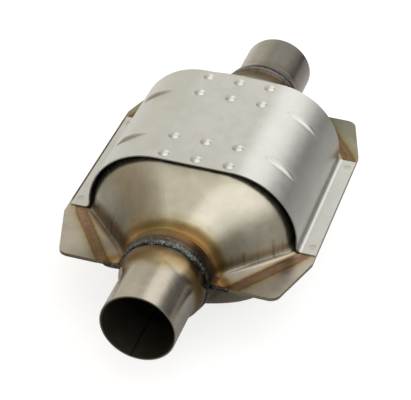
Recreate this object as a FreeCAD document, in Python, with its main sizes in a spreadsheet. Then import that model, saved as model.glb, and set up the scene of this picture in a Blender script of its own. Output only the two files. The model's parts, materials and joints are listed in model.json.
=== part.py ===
import FreeCAD, Part
import math
import os

import Sketcher

# A universal exhaust catalytic converter: two pressed shell halves seam welded along a flat flange,
# a heat shield spot welded over the upper half, a flared neck welded into each end, and two coated
# ceramic bricks inside, each held in a mat with a wire mesh seal at both ends.
#
# X runs across the flanges, Y along the pipes and Z up. Y = 0 is the middle of the body, the inlet
# is at -Y, and Z = 0 is the flat underside that the converter stands on.

SIZES = [
    ("pipe_bore_radius", 28.65, "inside radius of the straight end of each neck"),
    ("neck_sheet", 1.5, "wall of the necks"),
    ("neck_straight_length", 40, "straight end of each neck, where the exhaust pipe slides in"),
    ("neck_flare_length", 17, "length over which a neck widens"),
    ("neck_skirt_length", 7, "wide end of a neck that shows outside the shell"),
    ("neck_skirt_radius", 35, "outside radius of the wide end"),
    ("neck_insertion", 9, "wide end of a neck inside the shell's collar"),
    ("slip_clearance", 0.15, "gap round a neck inside the collar"),
    ("shell_sheet", 1.5, "sheet of both shell halves"),
    ("shell_half_width", 83, "middle of the body to its side wall"),
    ("shell_half_height", 63.4, "flange joint to the flat top of the body"),
    ("shell_corner_rise", 4.4, "height at which the side wall starts to curve over"),
    ("body_half_length", 62, "half of the straight part of the body"),
    ("dome_length", 55, "length over which the body narrows to a collar"),
    ("collar_length", 10, "straight round collar at each end of the shell"),
    ("crown_flat", 0.3, "half of the narrow flat left at the crown of a collar"),
    ("foot_radius", 6, "bend between the body and its flange"),
    ("foot_lip", 0.3, "thickness left where the bend runs out inside"),
    ("flange_half_width", 103.5, "pipe axis to the long edge of the flange"),
    ("flange_side_half_length", 76, "half of the long edge"),
    ("flange_end_half_width", 88, "pipe axis to the outer end of an ear"),
    ("ear_corner_radius", 9, "rounded outer corner of an ear"),
    ("side_corner_radius", 6, "rounded corner between the long edge and an ear"),
    ("seam_width", 7.6, "width of the roller seam weld"),
    ("seam_depth", 0.25, "depth that the rollers press into the flange"),
    ("seam_side", 95, "pipe axis to the seam beside the body"),
    ("seam_side_half_length", 66, "half of the seam's straight stretch"),
    ("seam_end", 51.5, "pipe axis to the seam at the end of the flange"),
    ("seam_bend_radius", 40, "bend of the seam beside the dome"),
    ("shield_side_gap", 3, "air between the side of the shell and the heat shield"),
    ("shield_top_gap", 1, "air between the top of the shell and the heat shield"),
    ("shield_sheet", 1, "sheet of the heat shield"),
    ("shield_corner_rise", 9.4, "height at which the shield's side wall starts to curve over"),
    ("shield_bend_radius", 4, "bend between the shield and its feet"),
    ("shield_half_length", 66.5, "half of the heat shield's length"),
    ("shield_foot_inset", 1.1, "flange edge to the edge of a foot, for a shield in the middle"),
    ("shield_shift", 1, "how far the shield sits to the right of the middle"),
    ("dimple_radius", 4.8, "foot of a round dimple"),
    ("dimple_height", 2, "height of a round dimple"),
    ("dimple_pitch_across", 26.4, "dimple to dimple across the shield"),
    ("dimple_pitch_along", 25.3, "outer row of dimples to the inner row"),
    ("dimple_row", 33.1, "middle of the shield to the inner row of dimples"),
    ("rib_row", 33.1, "middle of the shield to a shoulder rib"),
    ("rib_angle", 55, "place of a rib round the shoulder, in degrees above the level"),
    ("rib_arc_radius", 33, "outside radius of a rib in side view"),
    ("rib_tube_radius", 5, "roundness of a rib across its crest"),
    ("rib_height", 2, "height of a rib above the shoulder"),
    ("spot_radius", 3, "mark of a spot weld on the shield's foot"),
    ("spot_depth", 0.2, "depth of that mark"),
    ("spot_inset", 6.2, "flange edge to a spot weld"),
    ("spot_at", 57, "middle of the shield to a spot weld"),
    ("ring_leg_neck", 6.5, "ring weld along the neck"),
    ("ring_leg_shell", 4, "ring weld along the collar"),
    ("ring_crown_radius", 10, "rounding of the ring weld's face"),
    ("tie_half_length", 7.5, "half length of the bead that closes a flange end beside a neck"),
    ("tie_reach", 2.2, "how far that bead stands out from the end of the flange"),
    ("tie_half_height", 2.6, "half height of that bead"),
    ("tie_start", 1, "outside of the neck to the hidden tip of that bead, under the ring weld"),
    ("brick_length", 50, "length of each ceramic brick"),
    ("brick_gap", 14, "space between the two bricks"),
    ("mat_thickness", 5, "mat between a brick and the shell"),
    ("seal_length", 6, "wire mesh seal at each end of a mat"),
    ("packing_clearance", 0.1, "gap on each face of a mat or seal"),
]

# How the body narrows from its straight part (share 1) to the round collar (share 0). Each row is
# the place along the dome, the share of the width and the share of the height.
DOME_STATIONS = [
    ("a", 0.167, 0.915, 0.921),
    ("b", 0.333, 0.745, 0.761),
    ("c", 0.500, 0.555, 0.544),
    ("d", 0.667, 0.345, 0.323),
    ("e", 0.833, 0.140, 0.136),
]

doc = FreeCAD.newDocument("catalytic_converter")
sizes = doc.addObject("Spreadsheet::Sheet", "sizes")


def write_size(row, alias, value, note):
    sizes.set(f"A{row}", note)
    sizes.set(f"B{row}", str(value))
    sizes.setAlias(f"B{row}", alias)


for row, (alias, value, note) in enumerate(SIZES, start=1):
    write_size(row, alias, value, note)
for station, place, width_share, height_share in DOME_STATIONS:
    row = row + 1
    write_size(row, f"station_{station}_place", place, f"dome station {station}, share of the dome's length")
    row = row + 1
    write_size(row, f"station_{station}_width", width_share, f"dome station {station}, share of the width")
    row = row + 1
    write_size(row, f"station_{station}_height", height_share, f"dome station {station}, share of the height")
doc.recompute()


class Size:
    """A length as an expression of the sheet's cells, with the number that it stands for now."""

    def __init__(self, text, number):
        self.text = text
        self.number = number

    def __add__(self, other):
        return Size(f"({self.text} + {other.text})", self.number + other.number)

    def __sub__(self, other):
        return Size(f"({self.text} - {other.text})", self.number - other.number)

    def __mul__(self, other):
        return Size(f"({self.text} * {other.text})", self.number * other.number)

    def __neg__(self):
        return Size(f"(0 - {self.text})", -self.number)

    def __float__(self):
        return float(self.number)


def named(alias):
    return Size(f"sizes.{alias}", float(sizes.get(alias)))


# Lengths that several pieces share.
shell_sheet = named("shell_sheet")
foot_top = shell_sheet + named("foot_radius")
collar_radius = named("neck_skirt_radius") + named("slip_clearance") + shell_sheet
body_end = named("body_half_length")
dome_end = body_end + named("dome_length")
flange_end = dome_end + named("collar_length")
axis_height = named("shell_half_height")

HORIZONTAL_AXIS = -1
VERTICAL_AXIS = -2
ORIGIN_POINT = (-1, 1)
START = 1
END = 2
CENTRE = 3
SKETCH_NORMAL = FreeCAD.Vector(0, 0, 1)

# Two coordinates closer together than this are the same.
SAME_PLACE = 0.01


def origin_feature(body, role):
    for feature in body.Origin.OriginFeatures:
        if feature.Role == role:
            return feature
    raise ValueError(role)


def new_body(label, turn_axis=FreeCAD.Vector(0, 0, 1), turn=0):
    """A body about the pipe axis, turned if asked and lifted so that the converter stands on Z = 0."""
    body = doc.addObject("PartDesign::Body", label)
    body.Label = label
    body.Placement = FreeCAD.Placement(FreeCAD.Vector(0, 0, 0), FreeCAD.Rotation(turn_axis, turn))
    body.setExpression("Placement.Base.z", axis_height.text)
    return body


def new_sketch(body, name, plane, offset=None):
    """A sketch on one of the body's own origin planes, moved along its normal by offset."""
    sketch = body.newObject("Sketcher::SketchObject", name)
    sketch.AttachmentSupport = (origin_feature(body, plane), [""])
    sketch.MapMode = "FlatFace"
    if offset is not None:
        sketch.setExpression("AttachmentOffset.Base.z", offset.text)
    return sketch


def hold(sketch, *terms):
    """A constraint with no size, such as Vertical or Tangent."""
    sketch.addConstraint(Sketcher.Constraint(*terms))


def drive(sketch, length, *terms):
    """A constraint whose size follows the sheet."""
    index = sketch.addConstraint(Sketcher.Constraint(*terms, length.number))
    sketch.setExpression(f"Constraints[{index}]", length.text)


def point(across, up):
    return FreeCAD.Vector(float(across), float(up), 0)


def add_line(sketch, start, end):
    return sketch.addGeometry(Part.LineSegment(start, end))


def add_arc(sketch, centre, radius, start_angle, end_angle):
    circle = Part.Circle(centre, SKETCH_NORMAL, float(radius))
    return sketch.addGeometry(Part.ArcOfCircle(circle, start_angle, end_angle))


def join(sketch, first, first_point, second, second_point):
    hold(sketch, "Coincident", first, first_point, second, second_point)


def mirror_in_axis(sketch, right, right_point, left, left_point):
    hold(sketch, "Symmetric", right, right_point, left, left_point, VERTICAL_AXIS)


def pad(body, name, sketch, length, symmetric=False, reversed_way=False):
    feature = body.newObject("PartDesign::Pad", name)
    feature.Profile = sketch
    feature.SideType = "Symmetric" if symmetric else "One side"
    feature.Reversed = reversed_way
    feature.setExpression("Length", length.text)
    return feature


def pocket(body, name, sketch, length, symmetric=False, reversed_way=False):
    feature = body.newObject("PartDesign::Pocket", name)
    feature.Profile = sketch
    feature.SideType = "Symmetric" if symmetric else "One side"
    feature.Reversed = reversed_way
    feature.setExpression("Length", length.text)
    return feature


def loft(body, name, kind, sketches, ruled=False):
    """A smooth loft through the sketches, or straight from each one to the next where it is ruled."""
    feature = body.newObject(f"PartDesign::{kind}", name)
    feature.Profile = sketches[0]
    feature.Sections = sketches[1:]
    feature.Ruled = ruled
    return feature


def mirrored(body, name, originals, plane):
    feature = body.newObject("PartDesign::Mirrored", name)
    feature.Originals = originals
    feature.MirrorPlane = (origin_feature(body, plane), [""])
    body.Tip = feature
    return feature


def mirror_step(body, plane):
    """A mirror image that counts only as one step of a repeated feature."""
    step = doc.addObject("PartDesign::Mirrored", f"{body.Name}_mirror_{plane}")
    step.MirrorPlane = (origin_feature(body, plane), [""])
    return step


def row_step(body, axis, spacing, count):
    """Copies in a row, spacing apart, as one step of a repeated feature."""
    step = doc.addObject("PartDesign::LinearPattern", f"{body.Name}_row_{axis}")
    step.Direction = (origin_feature(body, axis), [""])
    step.Mode = "Spacing"
    step.Occurrences = count
    step.setExpression("Offset", spacing.text)
    return step


def repeated(body, name, originals, steps):
    feature = body.newObject("PartDesign::MultiTransform", name)
    feature.Originals = originals
    feature.Transformations = steps
    body.Tip = feature
    return feature


def hat_section(sketch, width, height, rise, inset, foot_start):
    """Half of the shell's cross-section: a flat top, two shoulders and two feet on the flange.

    The shoulders are round about a centre at the height rise. Each foot bends the other way and is
    tangent to its shoulder. With no inset the foot runs out on top of the flange at foot_start, and
    with an inset of one sheet it is the inner face, cut short at foot_start.
    """
    flat = width - height + rise
    shoulder = height - rise - inset
    foot = foot_top - shell_sheet + inset
    reach = math.sqrt((float(shoulder) + float(foot)) ** 2 - (float(foot_top) - float(rise)) ** 2)
    foot_across = float(flat) + reach
    meet = math.asin((float(foot_top) - float(rise)) / (float(shoulder) + float(foot)))
    run_out = math.asin(min(1, (float(foot_top) - float(foot_start)) / float(foot)))
    toe = foot_across - float(foot) * math.cos(run_out)
    top = rise + shoulder
    quarter = math.pi / 2

    base = add_line(sketch, point(-toe, 0), point(toe, 0))
    right_step = add_line(sketch, point(toe, 0), point(toe, foot_start))
    right_foot = add_arc(sketch, point(foot_across, foot_top), foot, math.pi + meet, math.pi + run_out)
    right_shoulder = add_arc(sketch, point(flat, rise), shoulder, meet, quarter)
    crown = add_line(sketch, point(flat, top), point(-float(flat), top))
    left_shoulder = add_arc(sketch, point(-float(flat), rise), shoulder, quarter, math.pi - meet)
    left_foot = add_arc(sketch, point(-foot_across, foot_top), foot, -run_out, -meet)
    left_step = add_line(sketch, point(-toe, foot_start), point(-toe, 0))

    join(sketch, base, END, right_step, START)
    join(sketch, right_step, END, right_foot, END)
    hold(sketch, "Tangent", right_foot, START, right_shoulder, START)
    join(sketch, right_shoulder, END, crown, START)
    join(sketch, crown, END, left_shoulder, START)
    hold(sketch, "Tangent", left_shoulder, END, left_foot, END)
    join(sketch, left_foot, START, left_step, START)
    join(sketch, left_step, END, base, START)

    hold(sketch, "PointOnObject", base, START, HORIZONTAL_AXIS)
    hold(sketch, "PointOnObject", base, END, HORIZONTAL_AXIS)
    hold(sketch, "Vertical", right_step)
    hold(sketch, "Vertical", left_step)
    hold(sketch, "Vertical", right_shoulder, CENTRE, right_shoulder, END)
    hold(sketch, "Vertical", left_shoulder, CENTRE, left_shoulder, START)
    mirror_in_axis(sketch, right_shoulder, CENTRE, left_shoulder, CENTRE)
    hold(sketch, "Equal", right_shoulder, left_shoulder)
    hold(sketch, "Equal", right_foot, left_foot)
    drive(sketch, flat, "DistanceX", *ORIGIN_POINT, right_shoulder, CENTRE)
    drive(sketch, rise, "DistanceY", *ORIGIN_POINT, right_shoulder, CENTRE)
    drive(sketch, shoulder, "Radius", right_shoulder)
    drive(sketch, foot, "Radius", right_foot)
    drive(sketch, foot_top, "DistanceY", *ORIGIN_POINT, right_foot, CENTRE)
    drive(sketch, foot_top, "DistanceY", *ORIGIN_POINT, left_foot, CENTRE)
    if inset.number == 0:
        hold(sketch, "Vertical", right_foot, CENTRE, right_foot, END)
        hold(sketch, "Vertical", left_foot, CENTRE, left_foot, START)
    else:
        drive(sketch, foot_start, "DistanceY", *ORIGIN_POINT, right_foot, END)
        drive(sketch, foot_start, "DistanceY", *ORIGIN_POINT, left_foot, START)
    return sketch


def dome_sizes(width_share, height_share):
    """Half-width, half-height and shoulder rise of the dome where it has narrowed to these shares."""
    narrow = collar_radius + named("crown_flat")
    width = narrow + (named("shell_half_width") - narrow) * width_share
    height = collar_radius + (named("shell_half_height") - collar_radius) * height_share
    rise = named("shell_corner_rise") * height_share
    return width, height, rise


def outline(sketch, corners):
    """A closed outline of straight edges, each corner held at its own two sizes."""
    count = len(corners)
    edges = []
    for index in range(count):
        edges.append(add_line(sketch, point(*corners[index]), point(*corners[(index + 1) % count])))
    for index in range(count):
        across, up = corners[index]
        join(sketch, edges[index - 1], END, edges[index], START)
        drive(sketch, across, "DistanceX", *ORIGIN_POINT, edges[index], START)
        drive(sketch, up, "DistanceY", *ORIGIN_POINT, edges[index], START)
    return sketch


def flange_corners():
    """The corners of the flange in plan, from the right-hand rear round to the front."""
    side = named("flange_half_width")
    side_end = named("flange_side_half_length")
    ear = named("flange_end_half_width")
    return [
        (side, side_end),
        (ear, flange_end),
        (-ear, flange_end),
        (-side, side_end),
        (-side, -side_end),
        (-ear, -flange_end),
        (ear, -flange_end),
        (side, -side_end),
    ]


def upright_edges(shape, half_width):
    """Names of the straight upright edges that stand at this distance from the middle plane."""
    names = []
    for number, edge in enumerate(shape.Edges, start=1):
        box = edge.BoundBox
        upright = box.XLength < SAME_PLACE and box.YLength < SAME_PLACE
        if upright and abs(abs(box.XMin) - half_width) < SAME_PLACE:
            names.append(f"Edge{number}")
    return names


def fillet(body, name, base, edge_names, radius):
    feature = body.newObject("PartDesign::Fillet", name)
    feature.Base = (base, edge_names)
    feature.setExpression("Radius", radius.text)
    return feature


def seam_path(sketch):
    """Half of the seam's middle line, from beside the body to past the end of the flange."""
    side = named("seam_side")
    side_end = named("seam_side_half_length")
    end = named("seam_end")
    radius = named("seam_bend_radius")

    corner = FreeCAD.Vector(side.number, -side_end.number, 0)
    at_flange_end = FreeCAD.Vector(end.number, -flange_end.number, 0)
    slope = (at_flange_end - corner).normalize()
    past_end = at_flange_end + slope * named("seam_width").number
    down = FreeCAD.Vector(0, -1, 0)
    turn = down.getAngle(slope)
    cut = radius.number * math.tan(turn / 2)

    straight = add_line(sketch, point(side, 0), corner - down * cut)
    centre = corner - down * cut - FreeCAD.Vector(radius.number, 0, 0)
    bend = add_arc(sketch, centre, radius, -turn, 0)
    slant = add_line(sketch, corner + slope * cut, past_end)
    corner_mark = sketch.addGeometry(Part.Point(corner))
    end_mark = sketch.addGeometry(Part.Point(at_flange_end))
    sketch.setConstruction(corner_mark, True)
    sketch.setConstruction(end_mark, True)

    hold(sketch, "Tangent", straight, END, bend, END)
    hold(sketch, "Tangent", bend, START, slant, START)
    hold(sketch, "Vertical", straight)
    hold(sketch, "PointOnObject", straight, START, HORIZONTAL_AXIS)
    drive(sketch, side, "DistanceX", *ORIGIN_POINT, straight, START)
    hold(sketch, "PointOnObject", corner_mark, START, straight)
    hold(sketch, "PointOnObject", corner_mark, START, slant)
    drive(sketch, -side_end, "DistanceY", *ORIGIN_POINT, corner_mark, START)
    hold(sketch, "PointOnObject", end_mark, START, slant)
    drive(sketch, end, "DistanceX", *ORIGIN_POINT, end_mark, START)
    drive(sketch, -flange_end, "DistanceY", *ORIGIN_POINT, end_mark, START)
    drive(sketch, -flange_end - named("seam_width"), "DistanceY", *ORIGIN_POINT, slant, END)
    drive(sketch, radius, "Radius", bend)
    return sketch


def shell_half(label, turn):
    """One pressed half of the shell, with its flange, domes, collars and roller seam tracks."""
    body = new_body(label, FreeCAD.Vector(0, 1, 0), turn)
    full = Size("1", 1)
    none = Size("0", 0)
    stations = [(none, full, full)]
    for station, *_ in DOME_STATIONS:
        stations.append(tuple(named(f"station_{station}_{part}") for part in ("place", "width", "height")))
    stations.append((full, none, none))

    plate_sketch = outline(new_sketch(body, "flange_outline", "XY_Plane"), flange_corners())
    plate = pad(body, "flange", plate_sketch, shell_sheet)
    doc.recompute()
    ears = upright_edges(plate.Shape, float(named("flange_end_half_width")))
    rounded = fillet(body, "ear_corners", plate, ears, named("ear_corner_radius"))
    doc.recompute()
    sides = upright_edges(rounded.Shape, float(named("flange_half_width")))
    fillet(body, "side_corners", rounded, sides, named("side_corner_radius"))

    def sections(name, inset, foot_start):
        sketches = []
        for number, (place, width_share, height_share) in enumerate(stations):
            offset = body_end + named("dome_length") * place
            sketch = new_sketch(body, f"{name}_{number}", "XZ_Plane", offset)
            sketches.append(hat_section(sketch, *dome_sizes(width_share, height_share), inset, foot_start))
        return sketches

    middle = new_sketch(body, "body_outside", "XZ_Plane")
    hat_section(middle, *dome_sizes(full, full), none, shell_sheet)
    pad(body, "body", middle, body_end + body_end, symmetric=True)
    outside = sections("outside", none, shell_sheet)
    dome = loft(body, "dome", "AdditiveLoft", outside)
    collar_sketch = new_sketch(body, "collar_outside", "XZ_Plane", dome_end)
    hat_section(collar_sketch, *dome_sizes(none, none), none, shell_sheet)
    collar = pad(body, "collar", collar_sketch, named("collar_length"))
    mirrored(body, "rear_dome", [dome, collar], "XZ_Plane")

    hollow = new_sketch(body, "body_inside", "XZ_Plane")
    hat_section(hollow, *dome_sizes(full, full), shell_sheet, named("foot_lip"))
    pocket(body, "body_hollow", hollow, body_end + body_end, symmetric=True)
    inside = sections("inside", shell_sheet, named("foot_lip"))
    dome_hollow = loft(body, "dome_hollow", "SubtractiveLoft", inside, ruled=True)
    bore_sketch = new_sketch(body, "collar_inside", "XZ_Plane", dome_end)
    hat_section(bore_sketch, *dome_sizes(none, none), shell_sheet, named("foot_lip"))
    collar_bore = pocket(body, "collar_bore", bore_sketch, named("collar_length"), reversed_way=True)
    mirrored(body, "rear_hollow", [dome_hollow, collar_bore], "XZ_Plane")

    path = seam_path(new_sketch(body, "seam_path", "XY_Plane", shell_sheet))
    roller = new_sketch(body, "seam_roller", "XZ_Plane")
    half = Size("0.5", 0.5)
    seam_inner = named("seam_side") - named("seam_width") * half
    seam_outer = named("seam_side") + named("seam_width") * half
    seam_floor = shell_sheet - named("seam_depth")
    seam_above = shell_sheet + named("seam_depth")
    outline(roller, [
        (seam_inner, seam_floor),
        (seam_outer, seam_floor),
        (seam_outer, seam_above),
        (seam_inner, seam_above),
    ])
    track = body.newObject("PartDesign::SubtractivePipe", "seam_track")
    track.Profile = roller
    track.Spine = (path, [f"Edge{number}" for number in range(1, 4)])
    doc.recompute()
    repeated(body, "seam_tracks", [track], [mirror_step(body, "YZ_Plane"), mirror_step(body, "XZ_Plane")])
    return body


def shield():
    """The heat shield: one sheet bent into an arch with two flat feet, raised dimples and ribs."""
    body = new_body("heat_shield")
    body.setExpression("Placement.Base.x", named("shield_shift").text)
    sheet = named("shield_sheet")
    bend = named("shield_bend_radius")
    side = named("shell_half_width") + named("shield_side_gap") + sheet
    top = named("shell_half_height") + named("shield_top_gap") + sheet
    foot = shell_sheet
    foot_edge = named("flange_half_width") - named("shield_foot_inset")
    bend_across = side + bend
    bend_up = foot + sheet + bend
    corner_up = named("shield_corner_rise")
    corner = top - corner_up
    corner_across = side - corner
    quarter = math.pi / 2

    def sheet_half(sketch):
        """Half of the sheet's section, from the middle of the top to the edge of one foot."""
        top_outside = add_line(sketch, point(0, top), point(corner_across, top))
        corner_outside = add_arc(sketch, point(corner_across, corner_up), corner, 0, quarter)
        wall_outside = add_line(sketch, point(side, corner_up), point(side, bend_up))
        bend_outside = add_arc(sketch, point(bend_across, bend_up), bend, math.pi, math.pi + quarter)
        foot_outside = add_line(sketch, point(bend_across, foot + sheet), point(foot_edge, foot + sheet))
        edge = add_line(sketch, point(foot_edge, foot + sheet), point(foot_edge, foot))
        foot_inside = add_line(sketch, point(foot_edge, foot), point(bend_across, foot))
        bend_inside = add_arc(sketch, point(bend_across, bend_up), bend + sheet, math.pi, math.pi + quarter)
        wall_inside = add_line(sketch, point(side - sheet, bend_up), point(side - sheet, corner_up))
        corner_inside = add_arc(sketch, point(corner_across, corner_up), corner - sheet, 0, quarter)
        top_inside = add_line(sketch, point(corner_across, top - sheet), point(0, top - sheet))
        middle = add_line(sketch, point(0, top - sheet), point(0, top))
        hold(sketch, "Tangent", top_outside, END, corner_outside, END)
        hold(sketch, "Tangent", corner_outside, START, wall_outside, START)
        hold(sketch, "Tangent", wall_outside, END, bend_outside, START)
        hold(sketch, "Tangent", bend_outside, END, foot_outside, START)
        join(sketch, foot_outside, END, edge, START)
        join(sketch, edge, END, foot_inside, START)
        hold(sketch, "Tangent", foot_inside, END, bend_inside, END)
        hold(sketch, "Tangent", bend_inside, START, wall_inside, START)
        hold(sketch, "Tangent", wall_inside, END, corner_inside, START)
        hold(sketch, "Tangent", corner_inside, END, top_inside, START)
        join(sketch, top_inside, END, middle, START)
        join(sketch, middle, END, top_outside, START)
        hold(sketch, "Coincident", corner_outside, CENTRE, corner_inside, CENTRE)
        hold(sketch, "Coincident", bend_outside, CENTRE, bend_inside, CENTRE)
        hold(sketch, "PointOnObject", middle, START, VERTICAL_AXIS)
        hold(sketch, "Horizontal", top_outside)
        hold(sketch, "Vertical", wall_outside)
        hold(sketch, "Vertical", middle)
        hold(sketch, "Vertical", edge)
        hold(sketch, "Horizontal", foot_outside)
        hold(sketch, "Horizontal", foot_inside)
        hold(sketch, "Horizontal", top_inside)
        hold(sketch, "Vertical", wall_inside)
        drive(sketch, top, "DistanceY", *ORIGIN_POINT, middle, END)
        drive(sketch, sheet, "DistanceY", middle, START, middle, END)
        drive(sketch, side, "DistanceX", *ORIGIN_POINT, wall_outside, START)
        drive(sketch, corner, "Radius", corner_outside)
        drive(sketch, bend, "Radius", bend_outside)
        drive(sketch, foot, "DistanceY", *ORIGIN_POINT, edge, END)
        drive(sketch, foot_edge, "DistanceX", *ORIGIN_POINT, edge, END)
        return sketch

    section = sheet_half(new_sketch(body, "sheet_section", "XZ_Plane"))
    half_arch = pad(body, "half_arch", section, named("shield_half_length") * Size("2", 2), symmetric=True)
    arch = mirrored(body, "arch", [half_arch], "YZ_Plane")

    # A dimple is a low cap of this ball, whose middle lies under the sheet.
    def cap_radius(foot_radius, height):
        ball = (float(foot_radius) ** 2 + float(height) ** 2) / (2 * float(height))
        text = f"(({foot_radius.text} ^ 2 + {height.text} ^ 2) / (2 * {height.text}))"
        return Size(text, ball)

    ball = cap_radius(named("dimple_radius"), named("dimple_height"))
    ball_up = top + named("dimple_height") - ball
    outer_row = named("dimple_row") + named("dimple_pitch_along")

    def dimples(name, kind, radius):
        first = body.newObject(f"PartDesign::{kind}", name)
        first.AttachmentSupport = (origin_feature(body, "XY_Plane"), [""])
        first.MapMode = "FlatFace"
        first.setExpression("AttachmentOffset.Base.x", (-named("dimple_pitch_across")).text)
        first.setExpression("AttachmentOffset.Base.y", (-outer_row).text)
        first.setExpression("AttachmentOffset.Base.z", ball_up.text)
        first.setExpression("Radius", radius.text)
        return repeated(body, f"{name}s", [first], [
            row_step(body, "X_Axis", named("dimple_pitch_across"), 3),
            row_step(body, "Y_Axis", named("dimple_pitch_along"), 2),
            mirror_step(body, "XZ_Plane"),
        ])

    # A rib is the crest of this ring, which stands across the shoulder.
    rib_reach = corner + named("rib_height") - named("rib_arc_radius")
    angle = named("rib_angle")
    rib_across = corner_across + rib_reach * Size(f"cos({angle.text})", math.cos(math.radians(float(angle))))
    rib_up = corner_up + rib_reach * Size(f"sin({angle.text})", math.sin(math.radians(float(angle))))

    def ribs(name, kind, tube_radius):
        first = body.newObject(f"PartDesign::{kind}", name)
        first.AttachmentSupport = (origin_feature(body, "XZ_Plane"), [""])
        first.MapMode = "FlatFace"
        first.setExpression("AttachmentOffset.Base.x", rib_across.text)
        first.setExpression("AttachmentOffset.Base.y", rib_up.text)
        first.setExpression("AttachmentOffset.Base.z", named("rib_row").text)
        first.setExpression("Radius1", (named("rib_arc_radius") - named("rib_tube_radius")).text)
        first.setExpression("Radius2", tube_radius.text)
        return repeated(body, f"{name}s", [first], [
            mirror_step(body, "YZ_Plane"),
            mirror_step(body, "XZ_Plane"),
        ])

    def inside_of_arch(sketch):
        """The space under the sheet, drawn to well below the lowest part of a rib's ring."""
        wall = side - sheet
        low = -named("rib_arc_radius")
        round_inside = corner - sheet
        base = add_line(sketch, point(-wall, low), point(wall, low))
        right = add_line(sketch, point(wall, low), point(wall, corner_up))
        right_corner = add_arc(sketch, point(corner_across, corner_up), round_inside, 0, quarter)
        crown = add_line(sketch, point(corner_across, top - sheet), point(-corner_across, top - sheet))
        left_corner = add_arc(sketch, point(-corner_across, corner_up), round_inside, quarter, math.pi)
        left = add_line(sketch, point(-wall, corner_up), point(-wall, low))
        join(sketch, base, END, right, START)
        hold(sketch, "Tangent", right, END, right_corner, START)
        hold(sketch, "Tangent", right_corner, END, crown, START)
        hold(sketch, "Tangent", crown, END, left_corner, START)
        hold(sketch, "Tangent", left_corner, END, left, START)
        join(sketch, left, END, base, START)
        hold(sketch, "Vertical", right)
        mirror_in_axis(sketch, base, START, base, END)
        mirror_in_axis(sketch, right_corner, CENTRE, left_corner, CENTRE)
        hold(sketch, "Horizontal", crown)
        drive(sketch, wall, "DistanceX", *ORIGIN_POINT, right, START)
        drive(sketch, low, "DistanceY", *ORIGIN_POINT, right, START)
        drive(sketch, round_inside, "Radius", right_corner)
        drive(sketch, top - sheet, "DistanceY", *ORIGIN_POINT, crown, START)
        return sketch

    dimples("dimple", "AdditiveSphere", ball)
    ribs("rib", "AdditiveTorus", named("rib_tube_radius"))
    inside = inside_of_arch(new_sketch(body, "arch_inside", "XZ_Plane"))
    pocket(body, "air_space", inside, named("shield_half_length") * Size("2", 2), symmetric=True)
    dimples("dimple_hollow", "SubtractiveSphere", ball - sheet)
    ribs("rib_hollow", "SubtractiveTorus", named("rib_tube_radius") - sheet)

    marks = new_sketch(body, "spot_marks", "XY_Plane", foot + sheet)
    spot_across = named("flange_half_width") - named("spot_inset")
    for across in (spot_across, -spot_across):
        for along in (named("spot_at"), -named("spot_at")):
            circle = Part.Circle(point(across, along), SKETCH_NORMAL, float(named("spot_radius")))
            mark = marks.addGeometry(circle)
            drive(marks, across, "DistanceX", *ORIGIN_POINT, mark, CENTRE)
            drive(marks, along, "DistanceY", *ORIGIN_POINT, mark, CENTRE)
            drive(marks, named("spot_radius"), "Radius", mark)
    pocket(body, "spot_welds", marks, named("spot_depth"))
    return body


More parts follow.
